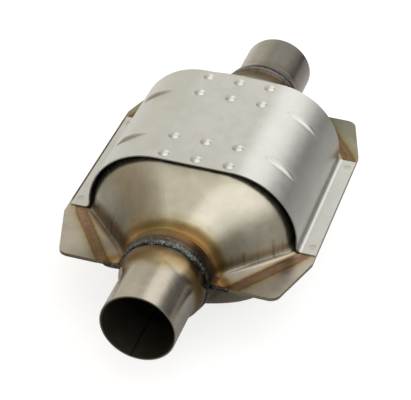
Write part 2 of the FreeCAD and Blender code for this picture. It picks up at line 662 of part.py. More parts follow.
def neck(label, turn):
    """A neck: a straight round end for the exhaust pipe, which flares to the skirt in the collar."""
    body = new_body(label, FreeCAD.Vector(0, 0, 1), turn)
    sheet = named("neck_sheet")
    skirt = named("neck_skirt_radius")
    mouth = named("pipe_bore_radius") + sheet
    skirt_from = flange_end - named("neck_insertion")
    flare_from = flange_end + named("neck_skirt_length")
    flare_to = flare_from + named("neck_flare_length")
    mouth_at = flare_to + named("neck_straight_length")

    # The flare is two equal arcs, one each way, that meet halfway.
    run = named("neck_flare_length").number
    drop = (skirt - mouth).number
    bend = (run ** 2 + drop ** 2) / (4 * drop)
    turn_angle = math.asin(run / 2 / bend)
    quarter = math.pi / 2
    sketch = new_sketch(body, "neck_section", "YZ_Plane")

    def flare(skirt_radius, mouth_radius, outer_bend, inner_bend):
        skirt_line = add_line(sketch, point(skirt_from, skirt_radius), point(flare_from, skirt_radius))
        top_centre = point(flare_from, float(skirt) - bend)
        top_arc = add_arc(sketch, top_centre, outer_bend, quarter - turn_angle, quarter)
        low_centre = point(flare_to, float(mouth) + bend)
        low_arc = add_arc(sketch, low_centre, inner_bend, -quarter - turn_angle, -quarter)
        straight = add_line(sketch, point(flare_to, mouth_radius), point(mouth_at, mouth_radius))
        hold(sketch, "Tangent", skirt_line, END, top_arc, END)
        hold(sketch, "Tangent", top_arc, START, low_arc, START)
        hold(sketch, "Tangent", low_arc, END, straight, START)
        hold(sketch, "Horizontal", skirt_line)
        hold(sketch, "Horizontal", straight)
        return skirt_line, top_arc, low_arc, straight

    outer = flare(skirt, mouth, bend, bend)
    inner = flare(skirt - sheet, mouth - sheet, bend - float(sheet), bend + float(sheet))
    hold(sketch, "Equal", outer[1], outer[2])
    hold(sketch, "Coincident", outer[1], CENTRE, inner[1], CENTRE)
    hold(sketch, "Coincident", outer[2], CENTRE, inner[2], CENTRE)
    root = add_line(sketch, point(skirt_from, skirt - sheet), point(skirt_from, skirt))
    rim = add_line(sketch, point(mouth_at, mouth), point(mouth_at, mouth - sheet))
    join(sketch, root, END, outer[0], START)
    join(sketch, root, START, inner[0], START)
    join(sketch, rim, START, outer[3], END)
    join(sketch, rim, END, inner[3], END)
    hold(sketch, "Vertical", root)
    hold(sketch, "Vertical", rim)
    drive(sketch, skirt_from, "DistanceX", *ORIGIN_POINT, root, START)
    drive(sketch, skirt, "DistanceY", *ORIGIN_POINT, root, END)
    drive(sketch, sheet, "DistanceY", root, START, root, END)
    drive(sketch, flare_from, "DistanceX", *ORIGIN_POINT, outer[0], END)
    drive(sketch, flare_to, "DistanceX", *ORIGIN_POINT, outer[3], START)
    drive(sketch, mouth_at, "DistanceX", *ORIGIN_POINT, rim, START)
    drive(sketch, mouth, "DistanceY", *ORIGIN_POINT, rim, START)
    turned(body, "neck_tube", sketch)
    return body


def turned(body, name, sketch):
    """The sketch turned a full circle about the pipe axis."""
    feature = body.newObject("PartDesign::Revolution", name)
    feature.Profile = sketch
    feature.ReferenceAxis = (sketch, ["H_Axis"])
    feature.Angle = 360
    return feature


def ring_bead(name, turn):
    """The round weld between a neck and the collar, before the shell is cut out of it."""
    body = new_body(name, FreeCAD.Vector(0, 0, 1), turn)
    skirt = named("neck_skirt_radius")
    on_neck = flange_end + named("ring_leg_neck")
    on_shell = flange_end - named("ring_leg_shell")
    in_wall = collar_radius - shell_sheet * Size("0.5", 0.5)
    sketch = new_sketch(body, "bead_section", "YZ_Plane")

    toe = point(on_neck, skirt)
    heel = point(on_shell, collar_radius)
    chord = heel - toe
    radius = float(named("ring_crown_radius"))
    inward = FreeCAD.Vector(chord.y, -chord.x, 0).normalize()
    if inward.y > 0:
        inward = -inward
    centre = (toe + heel) * 0.5 + inward * math.sqrt(radius ** 2 - (chord.Length / 2) ** 2)
    toe_angle = math.atan2(toe.y - centre.y, toe.x - centre.x)
    heel_angle = math.atan2(heel.y - centre.y, heel.x - centre.x)

    seat = add_line(sketch, toe, point(flange_end, skirt))
    step = add_line(sketch, point(flange_end, skirt), point(flange_end, in_wall))
    lap = add_line(sketch, point(flange_end, in_wall), point(on_shell, in_wall))
    rise = add_line(sketch, point(on_shell, in_wall), heel)
    crown = add_arc(sketch, centre, radius, toe_angle, heel_angle)
    join(sketch, seat, END, step, START)
    join(sketch, step, END, lap, START)
    join(sketch, lap, END, rise, START)
    join(sketch, rise, END, crown, END)
    join(sketch, crown, START, seat, START)
    hold(sketch, "Horizontal", seat)
    hold(sketch, "Vertical", step)
    hold(sketch, "Horizontal", lap)
    hold(sketch, "Vertical", rise)
    drive(sketch, on_neck, "DistanceX", *ORIGIN_POINT, seat, START)
    drive(sketch, flange_end, "DistanceX", *ORIGIN_POINT, step, START)
    drive(sketch, skirt, "DistanceY", *ORIGIN_POINT, step, START)
    drive(sketch, in_wall, "DistanceY", *ORIGIN_POINT, step, END)
    drive(sketch, on_shell, "DistanceX", *ORIGIN_POINT, rise, END)
    drive(sketch, collar_radius, "DistanceY", *ORIGIN_POINT, rise, END)
    drive(sketch, named("ring_crown_radius"), "Radius", crown)
    turned(body, "bead", sketch)
    return body


def tie_bead(name, side, end):
    """The bead that closes the flange beside a neck, before what it lies on is cut out of it."""
    middle = named("neck_skirt_radius") + named("tie_start") + named("tie_half_length")
    bead = doc.addObject("Part::Ellipsoid", name)
    bead.setExpression("Radius1", named("tie_half_height").text)
    bead.setExpression("Radius2", named("tie_half_length").text)
    bead.setExpression("Radius3", named("tie_reach").text)
    bead.setExpression("Placement.Base.x", (middle * Size(str(side), side)).text)
    bead.setExpression("Placement.Base.y", (flange_end * Size(str(end), end)).text)
    bead.setExpression("Placement.Base.z", axis_height.text)
    return bead


def inside_flange_ends():
    """A block that reaches from one end of the flanges to the other, past every bead."""
    reach = named("flange_end_half_width")
    block = doc.addObject("Part::Box", "inside_flange_ends")
    block.setExpression("Length", (reach + reach).text)
    block.setExpression("Width", (flange_end + flange_end).text)
    block.setExpression("Height", (axis_height + axis_height).text)
    block.setExpression("Placement.Base.x", (-reach).text)
    block.setExpression("Placement.Base.y", (-flange_end).text)
    return block


def cut_by(base, tools, label):
    """What is left of base when each tool is cut out of it, under its own label."""
    left = base
    for number, tool in enumerate(tools, start=1):
        cut = doc.addObject("Part::Cut", f"{label}_cut_{number}")
        cut.Base = left
        cut.Tool = tool
        left = cut
    left.Label = label
    return left


def packed_piece(label, start, length, gap, thickness=None):
    """A brick, mat or seal in the body: a rounded block, or a sleeve where it has a thickness.

    It lies gap inside the shell's outer face, and runs along Y from start.
    """
    body = new_body(label)

    def rounded_block(sketch, inset):
        width = named("shell_half_width") - inset
        height = named("shell_half_height") - inset
        corner = height - named("shell_corner_rise")
        flat = width - corner
        rise = named("shell_corner_rise")
        quarter = math.pi / 2
        right = add_line(sketch, point(width, -rise), point(width, rise))
        upper_right = add_arc(sketch, point(flat, rise), corner, 0, quarter)
        upper = add_line(sketch, point(flat, height), point(-flat, height))
        upper_left = add_arc(sketch, point(-flat, rise), corner, quarter, 2 * quarter)
        left = add_line(sketch, point(-width, rise), point(-width, -rise))
        lower_left = add_arc(sketch, point(-flat, -rise), corner, 2 * quarter, 3 * quarter)
        lower = add_line(sketch, point(-flat, -height), point(flat, -height))
        lower_right = add_arc(sketch, point(flat, -rise), corner, 3 * quarter, 4 * quarter)
        hold(sketch, "Tangent", right, END, upper_right, START)
        hold(sketch, "Tangent", upper_right, END, upper, START)
        hold(sketch, "Tangent", upper, END, upper_left, START)
        hold(sketch, "Tangent", upper_left, END, left, START)
        hold(sketch, "Tangent", left, END, lower_left, START)
        hold(sketch, "Tangent", lower_left, END, lower, START)
        hold(sketch, "Tangent", lower, END, lower_right, START)
        hold(sketch, "Tangent", lower_right, END, right, START)
        hold(sketch, "Symmetric", upper_right, CENTRE, lower_left, CENTRE, *ORIGIN_POINT)
        hold(sketch, "Symmetric", upper_left, CENTRE, lower_right, CENTRE, *ORIGIN_POINT)
        hold(sketch, "Vertical", right)
        hold(sketch, "Vertical", left)
        hold(sketch, "Horizontal", upper)
        hold(sketch, "Horizontal", lower)
        hold(sketch, "Equal", upper_right, upper_left)
        drive(sketch, width, "DistanceX", *ORIGIN_POINT, right, END)
        drive(sketch, rise, "DistanceY", *ORIGIN_POINT, right, END)
        drive(sketch, height, "DistanceY", *ORIGIN_POINT, upper, START)
        return sketch

    sketch = new_sketch(body, "section", "XZ_Plane", -start)
    rounded_block(sketch, gap)
    if thickness is not None:
        rounded_block(sketch, gap + thickness)
    pad(body, "block", sketch, length, reversed_way=True)
    return body


upper_shell = shell_half("upper_shell", 0)
lower_shell = shell_half("lower_shell", 180)
heat_shield = shield()
inlet_neck = neck("inlet_neck", 180)
outlet_neck = neck("outlet_neck", 0)

inlet_bead = ring_bead("inlet_bead", 180)
outlet_bead = ring_bead("outlet_bead", 0)
inlet_neck_weld = cut_by(inlet_bead, [upper_shell, lower_shell], "inlet_neck_weld")
outlet_neck_weld = cut_by(outlet_bead, [upper_shell, lower_shell], "outlet_neck_weld")

sub_parts = [
    upper_shell,
    lower_shell,
    heat_shield,
    inlet_neck,
    outlet_neck,
    inlet_neck_weld,
    outlet_neck_weld,
]

between_ends = inside_flange_ends()
for end_name, end, ring in (("inlet", -1, inlet_neck_weld), ("outlet", 1, outlet_neck_weld)):
    for side_name, side in (("left", -1), ("right", 1)):
        bead = tie_bead(f"{end_name}_{side_name}_bead", side, end)
        label = f"{end_name}_{side_name}_flange_weld"
        sub_parts.append(cut_by(bead, [between_ends, ring], label))

clearance = named("packing_clearance")
brick_start = named("brick_gap") * Size("0.5", 0.5)
for name, middle in (("outlet", 1), ("inlet", -1)):
    length = named("brick_length")
    seal = named("seal_length")
    start = brick_start if middle > 0 else -brick_start - length
    sleeve_gap = shell_sheet + clearance
    brick_gap = sleeve_gap + named("mat_thickness") + clearance
    mat = named("mat_thickness")
    sub_parts.append(packed_piece(f"{name}_brick", start, length, brick_gap))
    sub_parts.append(packed_piece(f"{name}_mat", start + seal, length - seal - seal, sleeve_gap, mat))
    sub_parts.append(packed_piece(f"{name}_brick_front_seal", start, seal, sleeve_gap, mat))
    rear_start = start + length - seal
    sub_parts.append(packed_piece(f"{name}_brick_rear_seal", rear_start, seal, sleeve_gap, mat))

doc.recompute()
for thing in doc.Objects:
    if "Invalid" in thing.State or "Error" in thing.State:
        raise RuntimeError(f"{thing.Name} failed: {thing.State}")
for sub_part in sub_parts:
    if sub_part.Shape.isNull() or not sub_part.Shape.isValid():
        raise RuntimeError(f"{sub_part.Label} has no valid shape")

os.makedirs("parts", exist_ok=True)
for sub_part in sub_parts:
    sub_part.Shape.exportStep(f"parts/{sub_part.Label}.step")
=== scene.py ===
# %% [markdown]
# # A catalytic converter in a small photo studio
# This lesson dresses a CAD model of an exhaust catalytic converter. The shapes come from the
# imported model, and everything here is about looks: a camera, soft light, and materials made of
# shader nodes.
#
# The first cell loads the model. Its parts are meshes in metres, with the pipes along Y, the
# flanges along X and the flat underside at Z = 0.

import json
import math

import bmesh
import bpy
from mathutils import Matrix, Vector
from mathutils import noise as wobble

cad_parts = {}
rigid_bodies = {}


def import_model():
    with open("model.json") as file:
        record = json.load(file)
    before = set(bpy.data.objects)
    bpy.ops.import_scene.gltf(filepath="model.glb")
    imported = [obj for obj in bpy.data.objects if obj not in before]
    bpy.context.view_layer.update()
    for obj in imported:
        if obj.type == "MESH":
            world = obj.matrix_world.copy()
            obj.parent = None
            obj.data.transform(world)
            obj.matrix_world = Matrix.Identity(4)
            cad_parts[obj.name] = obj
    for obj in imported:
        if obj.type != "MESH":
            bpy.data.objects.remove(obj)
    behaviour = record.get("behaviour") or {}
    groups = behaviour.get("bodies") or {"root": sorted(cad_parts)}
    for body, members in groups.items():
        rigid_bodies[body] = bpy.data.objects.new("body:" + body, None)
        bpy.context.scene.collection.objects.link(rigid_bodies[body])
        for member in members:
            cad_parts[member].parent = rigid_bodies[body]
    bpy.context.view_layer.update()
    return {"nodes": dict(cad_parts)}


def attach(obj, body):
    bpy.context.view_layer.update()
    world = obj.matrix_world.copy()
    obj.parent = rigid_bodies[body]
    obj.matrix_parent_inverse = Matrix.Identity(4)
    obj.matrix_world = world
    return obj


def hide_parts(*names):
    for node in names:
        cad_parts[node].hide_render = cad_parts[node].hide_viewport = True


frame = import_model()
nodes = frame["nodes"]
print("parts:", ", ".join(sorted(nodes)))

# %% [markdown]
# ## Measures
# A material that follows the welds has to know where they are. These lengths are in millimetres,
# like the drawing of the part, and the shaders work in millimetres too. The colours that heat has
# left along the seam lie a little off it, most of all at the rear, so a shift for each quarter of
# the flange moves them.

# %%
# Measures that the materials follow
AXIS_HEIGHT = 63.4
BORE_RADIUS = 28.65
NECK_RADIUS = 35.0
COLLAR_RADIUS = 36.65
FLANGE_END = 127.0
FLARE_ALONG = (134.0, 151.0)
WELD_TOE = 133.5
WELD_HEEL = 123.0
RING_MIDDLE = 128.0
SHEET = 1.5
SEAM_WIDTH = 7.6
SEAM_START = (95.0, 0.0)
SEAM_CORNER = (95.0, 66.0)
SEAM_END = (46.1, 134.6)
SEAM_BEND_RADIUS = 40.0
SEAM_SHIFT_LEFT = -0.5
SEAM_SHIFT_RIGHT = 1.3
SEAM_SHIFT_REAR_LEFT = 4.0
SEAM_SHIFT_REAR_RIGHT = 5.5
SHIELD_SHIFT = 1.0
SPOT_ACROSS = 97.3
SPOT_ALONG = 57.0
SPOT_RADIUS = 3.2
MM = 0.001


def rounded_route(start, corner, end, radius, chords):
    """Start, the points of the bend that rounds the corner, and the end."""
    start, corner, end = Vector(start), Vector(corner), Vector(end)
    ahead = (corner - start).normalized()
    onward = (end - corner).normalized()
    turn = ahead.angle(onward)
    inward = (onward - ahead).normalized()
    centre = corner + inward * radius / math.cos(turn / 2)
    first = corner - ahead * radius * math.tan(turn / 2)
    points = [start]
    for step in range(chords + 1):
        spoke = Matrix.Rotation(turn * step / chords, 2) @ (first - centre)
        points.append(centre + spoke)
    return points + [end]


seam_points = rounded_route(SEAM_START, SEAM_CORNER, SEAM_END, SEAM_BEND_RADIUS, 3)
print("seam runs through", [tuple(round(c, 1) for c in point) for point in seam_points])

# %% [markdown]
# ## Camera
# The photo was taken from the front, a little to the right and well above. Three directions make
# the camera: back points from the object to the lens, and right and up are then turned by a small
# roll. The two shifts slide the picture so that the object sits where it does in the photo.

# %%
# Camera
PHOTO_WIDTH = 411
AZIMUTH = math.radians(16.4)
ELEVATION = math.radians(36.22)
ROLL = math.radians(1.87)
DISTANCE = 1.41236
FOCAL_PIXELS = 1708.9
RIGHT_PIXELS = 9.54
UP_PIXELS = 15.32


def make_camera():
    back = Vector((
        math.sin(AZIMUTH) * math.cos(ELEVATION),
        -math.cos(AZIMUTH) * math.cos(ELEVATION),
        math.sin(ELEVATION),
    ))
    level_right = Vector((math.cos(AZIMUTH), math.sin(AZIMUTH), 0))
    level_up = back.cross(level_right)
    right = level_right * math.cos(ROLL) + level_up * math.sin(ROLL)
    up = level_up * math.cos(ROLL) - level_right * math.sin(ROLL)
    data = bpy.data.cameras.new("camera")
    data.lens = FOCAL_PIXELS * data.sensor_width / PHOTO_WIDTH
    data.shift_x = -RIGHT_PIXELS / PHOTO_WIDTH
    data.shift_y = -UP_PIXELS / PHOTO_WIDTH
    camera = bpy.data.objects.new("camera", data)
    bpy.context.scene.collection.objects.link(camera)
    place = Matrix.Translation(Vector((0, 0, AXIS_HEIGHT * MM)) + back * DISTANCE)
    camera.matrix_world = place @ Matrix((right, up, back)).transposed().to_4x4()
    bpy.context.scene.camera = camera
    return camera


camera = make_camera()
print("camera at", [round(x, 3) for x in camera.location], "lens", round(camera.data.lens, 1))

# %% [markdown]
# ## Small helpers for shader nodes
# A shader is a graph. `add` puts one node into a tree and fills its inputs: a number or colour is
# set on the socket, and an output of another node is linked to it. With it, a chain of nodes reads
# like a list of steps.

# %%
# Helpers for numbers and vectors
def fill(tree, socket, value):
    if isinstance(value, bpy.types.NodeSocket):
        tree.links.new(value, socket)
        return
    if socket.type == "RGBA" and len(value) == 3:
        value = (*value, 1.0)
    socket.default_value = value


def add(tree, kind, inputs=None, **settings):
    node = tree.nodes.new("ShaderNode" + kind)
    for name, value in settings.items():
        setattr(node, name, value)
    for key, value in (inputs or {}).items():
        fill(tree, node.inputs[key], value)
    return node


def math_node(tree, operation, *values, clamp=False):
    node = add(tree, "Math", dict(enumerate(values)), operation=operation, use_clamp=clamp)
    return node.outputs[0]


def multiply(tree, first, *others):
    for other in others:
        first = math_node(tree, "MULTIPLY", first, other)
    return first


def total(tree, first, *others):
    for other in others:
        first = math_node(tree, "ADD", first, other)
    return first


def vector_node(tree, operation, *values):
    node = add(tree, "VectorMath", dict(enumerate(values)), operation=operation)
    return node.outputs["Value" if operation in ("LENGTH", "DOT_PRODUCT", "DISTANCE") else "Vector"]


def scaled(tree, vector, factor):
    return add(tree, "VectorMath", {0: vector, "Scale": factor}, operation="SCALE").outputs[0]


def split(tree, vector):
    return add(tree, "SeparateXYZ", {0: vector}).outputs


def join(tree, x, y, z=0.0):
    return add(tree, "CombineXYZ", {0: x, 1: y, 2: z}).outputs[0]


print("helpers for numbers ready")

# %% [markdown]
# Most looks are a share from 0 to 1 that mixes two colours. A `ramp` makes such a share from a
# length, `fade` makes one that falls, and `sway` turns noise into a small change either way.
# `tint` multiplies a colour only where the share says so, which is how heat colours steel. The
# scale of `noise` is per millimetre: 0.05 gives clouds some 20 mm wide, and 1.0 grains of 1 mm.

# %%
# Helpers for shares, colours and noise
def ramp(tree, value, low, high, out_low=0.0, out_high=1.0, smooth=True):
    """A value between low and high, mapped to a share that eases in and out."""
    node = add(tree, "MapRange", interpolation_type="SMOOTHSTEP" if smooth else "LINEAR")
    for key, number in enumerate((value, low, high, out_low, out_high)):
        fill(tree, node.inputs[key], number)
    return node.outputs[0]


def fade(tree, value, low, high):
    """A share that is 1 below low and 0 above high."""
    return ramp(tree, value, low, high, 1.0, 0.0)


def sway(tree, value, reach, low=0.3, high=0.7, smooth=True):
    """Noise, which lies mostly between low and high, as a change from -reach to reach."""
    return ramp(tree, value, low, high, -reach, reach, smooth)


def mix_colour(tree, share, first, second, blend="MIX"):
    node = add(tree, "Mix", data_type="RGBA", blend_type=blend)
    fill(tree, node.inputs[0], share)
    fill(tree, node.inputs[6], first)
    fill(tree, node.inputs[7], second)
    return node.outputs[2]


def tint(tree, share, base, colour):
    """The base, multiplied by the colour as far as the share says."""
    return mix_colour(tree, share, base, mix_colour(tree, 1.0, base, colour, "MULTIPLY"))


def grey(tree, level):
    return add(tree, "CombineColor", {0: level, 1: level, 2: level}).outputs[0]


def colour_ramp(tree, value, stops):
    """A colour that changes along value, which runs from 0 to 1."""
    node = add(tree, "ValToRGB", {0: value})
    elements = node.color_ramp.elements
    while len(elements) < len(stops):
        elements.new(0.5)
    for element, (place, colour) in zip(elements, stops):
        element.position = place
        element.color = (*colour, 1.0)
    return node.outputs["Color"]


def noise(tree, where, scale, detail=2.0, roughness=0.5, distortion=0.0):
    return add(tree, "TexNoise", {
        "Vector": where,
        "Scale": scale,
        "Detail": detail,
        "Roughness": roughness,
        "Distortion": distortion,
    }).outputs[0]


print("helpers for colours ready")

# %% [markdown]
# A node group is a piece of graph with a name, which several materials can share. `new_group`
# makes an empty one with its sockets, and `use_group` places it in a tree.

# %%
# Helpers for node groups
def new_group(name, inputs, outputs):
    """An empty node group with its sockets. Inputs and outputs are (name, kind) pairs."""
    tree = bpy.data.node_groups.new(name, "ShaderNodeTree")
    for socket, kind in inputs:
        tree.interface.new_socket(socket, in_out="INPUT", socket_type="NodeSocket" + kind)
    for socket, kind in outputs:
        tree.interface.new_socket(socket, in_out="OUTPUT", socket_type="NodeSocket" + kind)
    start = tree.nodes.new("NodeGroupInput")
    end = tree.nodes.new("NodeGroupOutput")
    return tree, start.outputs, end.inputs


def use_group(tree, group, inputs=None):
    node = tree.nodes.new("ShaderNodeGroup")
    node.node_tree = group
    for key, value in (inputs or {}).items():
        fill(tree, node.inputs[key], value)
    return node.outputs


print("helpers for groups ready")

# %% [markdown]
# ## Where a point is
# The first shared group turns a surface point into useful places: across the flanges, along the
# pipe from the middle of the body, up from the pipe axis, and the distance round and out from that
# axis. Most of the part is alike left and right, and front and rear, so across and along are taken
# without their sign. Round keeps its sign and is positive on the right.

# %%
# Shader group: place on the part, in millimetres
def make_place_group():
    tree, _, out = new_group("place", [], [
        ("Point", "Vector"),
        ("Across", "Float"),
        ("Along", "Float"),
        ("Up", "Float"),
        ("Radius", "Float"),
        ("Round", "Float"),
    ])
    point = scaled(tree, add(tree, "TexCoord").outputs["Object"], 1 / MM)
    parts = split(tree, point)
    up = math_node(tree, "SUBTRACT", parts["Z"], AXIS_HEIGHT)
    radius = vector_node(tree, "LENGTH", join(tree, parts["X"], 0.0, up))
    angle = math_node(tree, "ARCTAN2", parts["X"], up)
    tree.links.new(point, out["Point"])
    tree.links.new(math_node(tree, "ABSOLUTE", parts["X"]), out["Across"])
    tree.links.new(math_node(tree, "ABSOLUTE", parts["Y"]), out["Along"])
    tree.links.new(up, out["Up"])
    tree.links.new(radius, out["Radius"])
    tree.links.new(multiply(tree, angle, COLLAR_RADIUS), out["Round"])
    return tree


place_group = make_place_group()
print("place group has", len(place_group.nodes), "nodes")

# %% [markdown]
# ## Distance to a weld
# Heat colours follow distance: straw far away, then brown, purple and blue next to the weld. One
# group measures the distance from a point to a straight stretch.

# %%
# Shader group: distance to a straight stretch
def make_stretch_group():
    tree, given, out = new_group("stretch_distance", [
        ("Point", "Vector"),
        ("Start", "Vector"),
        ("End", "Vector"),
    ], [("Distance", "Float")])
    to_point = vector_node(tree, "SUBTRACT", given["Point"], given["Start"])
    to_end = vector_node(tree, "SUBTRACT", given["End"], given["Start"])
    reach = math_node(
        tree, "DIVIDE",
        vector_node(tree, "DOT_PRODUCT", to_point, to_end),
        vector_node(tree, "DOT_PRODUCT", to_end, to_end),
        clamp=True,
    )
    nearest = scaled(tree, to_end, reach)
    tree.links.new(vector_node(tree, "DISTANCE", to_point, nearest), out["Distance"])
    return tree


stretch_group = make_stretch_group()
print("stretch group has", len(stretch_group.nodes), "nodes")

# %% [markdown]
# The seam runs round the flange in straight stretches, and the nearest one counts. The seam group
# also says how far a point lies inwards of the seam's slanting run, and whether it is on the
# flange. The ring group measures the distance to the weld round a neck.

# %%
# Shader groups: distance to the seam and to the ring weld
HALF_BLEND = 1.0
FLANGE_SKIN = (SHEET + 0.4, SHEET + 2.5)


def make_seam_group():
    tree, _, out = new_group("seam_distance", [], [
        ("Distance", "Float"),
        ("Inward", "Float"),
        ("On_Flange", "Float"),
    ])
    place = use_group(tree, place_group)
    signed = split(tree, place["Point"])
    halves = (-HALF_BLEND, HALF_BLEND)
    left = ramp(tree, signed["Y"], *halves, SEAM_SHIFT_LEFT, SEAM_SHIFT_REAR_LEFT)
    right = ramp(tree, signed["Y"], *halves, SEAM_SHIFT_RIGHT, SEAM_SHIFT_REAR_RIGHT)
    shift = ramp(tree, signed["X"], *halves, left, right)
    shifted = join(tree, math_node(tree, "SUBTRACT", place["Across"], shift), place["Along"])
    nearest = None
    for first, second in zip(seam_points, seam_points[1:]):
        distance = use_group(tree, stretch_group, {
            "Point": shifted,
            "Start": (*first, 0.0),
            "End": (*second, 0.0),
        })["Distance"]
        nearest = distance if nearest is None else math_node(tree, "MINIMUM", nearest, distance)
    tree.links.new(nearest, out["Distance"])

    corner, end = Vector(SEAM_CORNER), Vector(SEAM_END)
    inward = (end - corner).normalized().orthogonal()
    flat = join(tree, place["Across"], place["Along"])
    from_corner = vector_node(tree, "SUBTRACT", flat, (*corner, 0.0))
    tree.links.new(vector_node(tree, "DOT_PRODUCT", from_corner, (*inward, 0.0)), out["Inward"])
    height = math_node(tree, "ABSOLUTE", place["Up"])
    tree.links.new(fade(tree, height, *FLANGE_SKIN), out["On_Flange"])
    return tree


def make_ring_group():
    tree, _, out = new_group("ring_distance", [], [("Distance", "Float")])
    place = use_group(tree, place_group)
    along = math_node(tree, "SUBTRACT", place["Along"], RING_MIDDLE)
    outward = math_node(tree, "SUBTRACT", place["Radius"], COLLAR_RADIUS)
    tree.links.new(vector_node(tree, "LENGTH", join(tree, along, outward)), out["Distance"])
    return tree


seam_group = make_seam_group()
ring_group = make_ring_group()
print("weld groups ready")

# %% [markdown]
# ## Rolled and pressed sheet
# Stainless sheet is never one flat grey, but its changes are gentle. This group gives every steel
# material its cloudy tone and its fine rolling lines, as a tone, a roughness and a bump height.
# Each material scales the height to a few hundredths of a millimetre, because metal that mirrors a
# room shows every dent.

# %%
# Shader group: sheet finish
CLOUD_SHARE = 0.65
TONE_CLOUDS = 0.7
TONE_LINES = 0.15
ROUGH_BLOTCHES = 0.5
ROUGH_LINES = 0.25
HEIGHT_LINES = 0.08


def make_sheet_group():
    tree, given, out = new_group("sheet_finish", [
        ("Point", "Vector"),
        ("Stretch", "Vector"),
    ], [("Tone", "Float"), ("Rough", "Float"), ("Height", "Float")])
    clouds = noise(tree, given["Point"], 0.03, 3.0, 0.55)
    blotches = noise(tree, given["Point"], 0.12)
    lines = noise(tree, vector_node(tree, "MULTIPLY", given["Point"], given["Stretch"]), 1.0)
    soft = total(
        tree,
        multiply(tree, clouds, CLOUD_SHARE),
        multiply(tree, blotches, 1 - CLOUD_SHARE),
    )
    tone = total(tree, sway(tree, soft, TONE_CLOUDS), sway(tree, lines, TONE_LINES))
    rough = total(tree, sway(tree, blotches, ROUGH_BLOTCHES), sway(tree, lines, ROUGH_LINES))
    height = total(tree, multiply(tree, lines, HEIGHT_LINES), blotches)
    tree.links.new(tone, out["Tone"])
    tree.links.new(rough, out["Rough"])
    tree.links.new(height, out["Height"])
    return tree


sheet_group = make_sheet_group()
print("sheet group has", len(sheet_group.nodes), "nodes")

# %% [markdown]
# ## Materials
# `new_material` makes a material with an empty Principled shader, and `dress` gives it to parts.
# Each material below works out a colour, a roughness and a bump from the shared groups.

# %%
# Start a material and give it to parts
TONE_SPREAD = 0.8


def new_material(name, metallic=1.0):
    material = bpy.data.materials.new(name)
    material.use_nodes = True
    shader = material.node_tree.nodes["Principled BSDF"]
    shader.inputs["Metallic"].default_value = metallic
    return material, material.node_tree, shader


def sheet_colour(tree, sheet, dark, light):
    share = ramp(tree, sheet["Tone"], -TONE_SPREAD, TONE_SPREAD)
    return mix_colour(tree, share, dark, light)


def sheet_roughness(tree, sheet, low, high):
    return ramp(tree, sheet["Rough"], -1.0, 1.0, low, high)


def at_rear(tree, place):
    """A share that is 0 on the front half of the part and 1 on the rear half."""
    return ramp(tree, split(tree, place["Point"])["Y"], -HALF_BLEND, HALF_BLEND)


def add_bump(tree, shader, height, distance_mm):
    bump = add(tree, "Bump", {"Height": height, "Distance": distance_mm * MM, "Strength": 1.0})
    tree.links.new(bump.outputs[0], shader.inputs["Normal"])


def dress(material, *names):
    for name in names:
        for slot in nodes[name].material_slots:
            slot.material = material
    print(material.name, "on", ", ".join(names))


# %% [markdown]
# ### Shell halves
# The pressed halves are warm satin steel that two welds have coloured. A painted image could show
# that, but colours that follow the distance to a weld stay sharp and fit the model wherever it
# turns. The material is made in steps, and each step is a function that takes the colour so far
# and gives back the next.
#
# The ring weld has left rings of brown, gold and straw on the dome, which wander a little and draw
# in where they cross the flange. Near the weld the dome is also browner on the right and paler on
# the left. Beyond the rings its foot is darker, and the collar behind the shield is duller.

# %%
# Shell steel: heat round the neck
RING_TINT = [
    (0.00, (0.30, 0.21, 0.15)),
    (0.08, (0.40, 0.29, 0.19)),
    (0.17, (0.47, 0.32, 0.17)),
    (0.29, (0.48, 0.32, 0.12)),
    (0.36, (0.70, 0.54, 0.28)),
    (0.43, (0.48, 0.37, 0.17)),
    (0.54, (0.42, 0.33, 0.18)),
    (0.65, (0.54, 0.47, 0.31)),
    (0.76, (0.82, 0.78, 0.64)),
    (1.00, (1.00, 1.00, 1.00)),
]
RING_TINT_SPAN = (4.0, 28.0)
RING_WANDER = 1.0
RING_RETREAT = 6.0
RING_DRIFT = 1.3
DRIFT_ROUND = (-16.0, 4.0)
RIGHT_TINT = (0.70, 0.57, 0.50)
RIGHT_ROUND = (-8.0, 10.0)
RIGHT_RING = (17.0, 23.0)
LEFT_TINT = (1.55, 1.45, 1.42)
LEFT_ROUND = (-34.0, -16.0)
LEFT_RING = (18.0, 32.0)
LOW_RIGHT_TINT = (1.25, 1.40, 1.40)
LOW_RIGHT_ROUND = (24.0, 36.0)
LOW_RIGHT_RING = (8.0, 11.0)
FOOT_DARKENING = (0.58, 0.58, 0.56)
FOOT_ROUND = (18.0, 40.0)
FOOT_RING_START = (14.0, 22.0)
FOOT_RING_END = (26.0, 60.0)
REAR_COLLAR_DULL = (0.50, 0.63, 0.72)
REAR_COLLAR_ALONG = (90.0, 112.0)
REAR_COLLAR_ACROSS = (18.0, 34.0)
REAR_COLLAR_RIGHT = 0.55


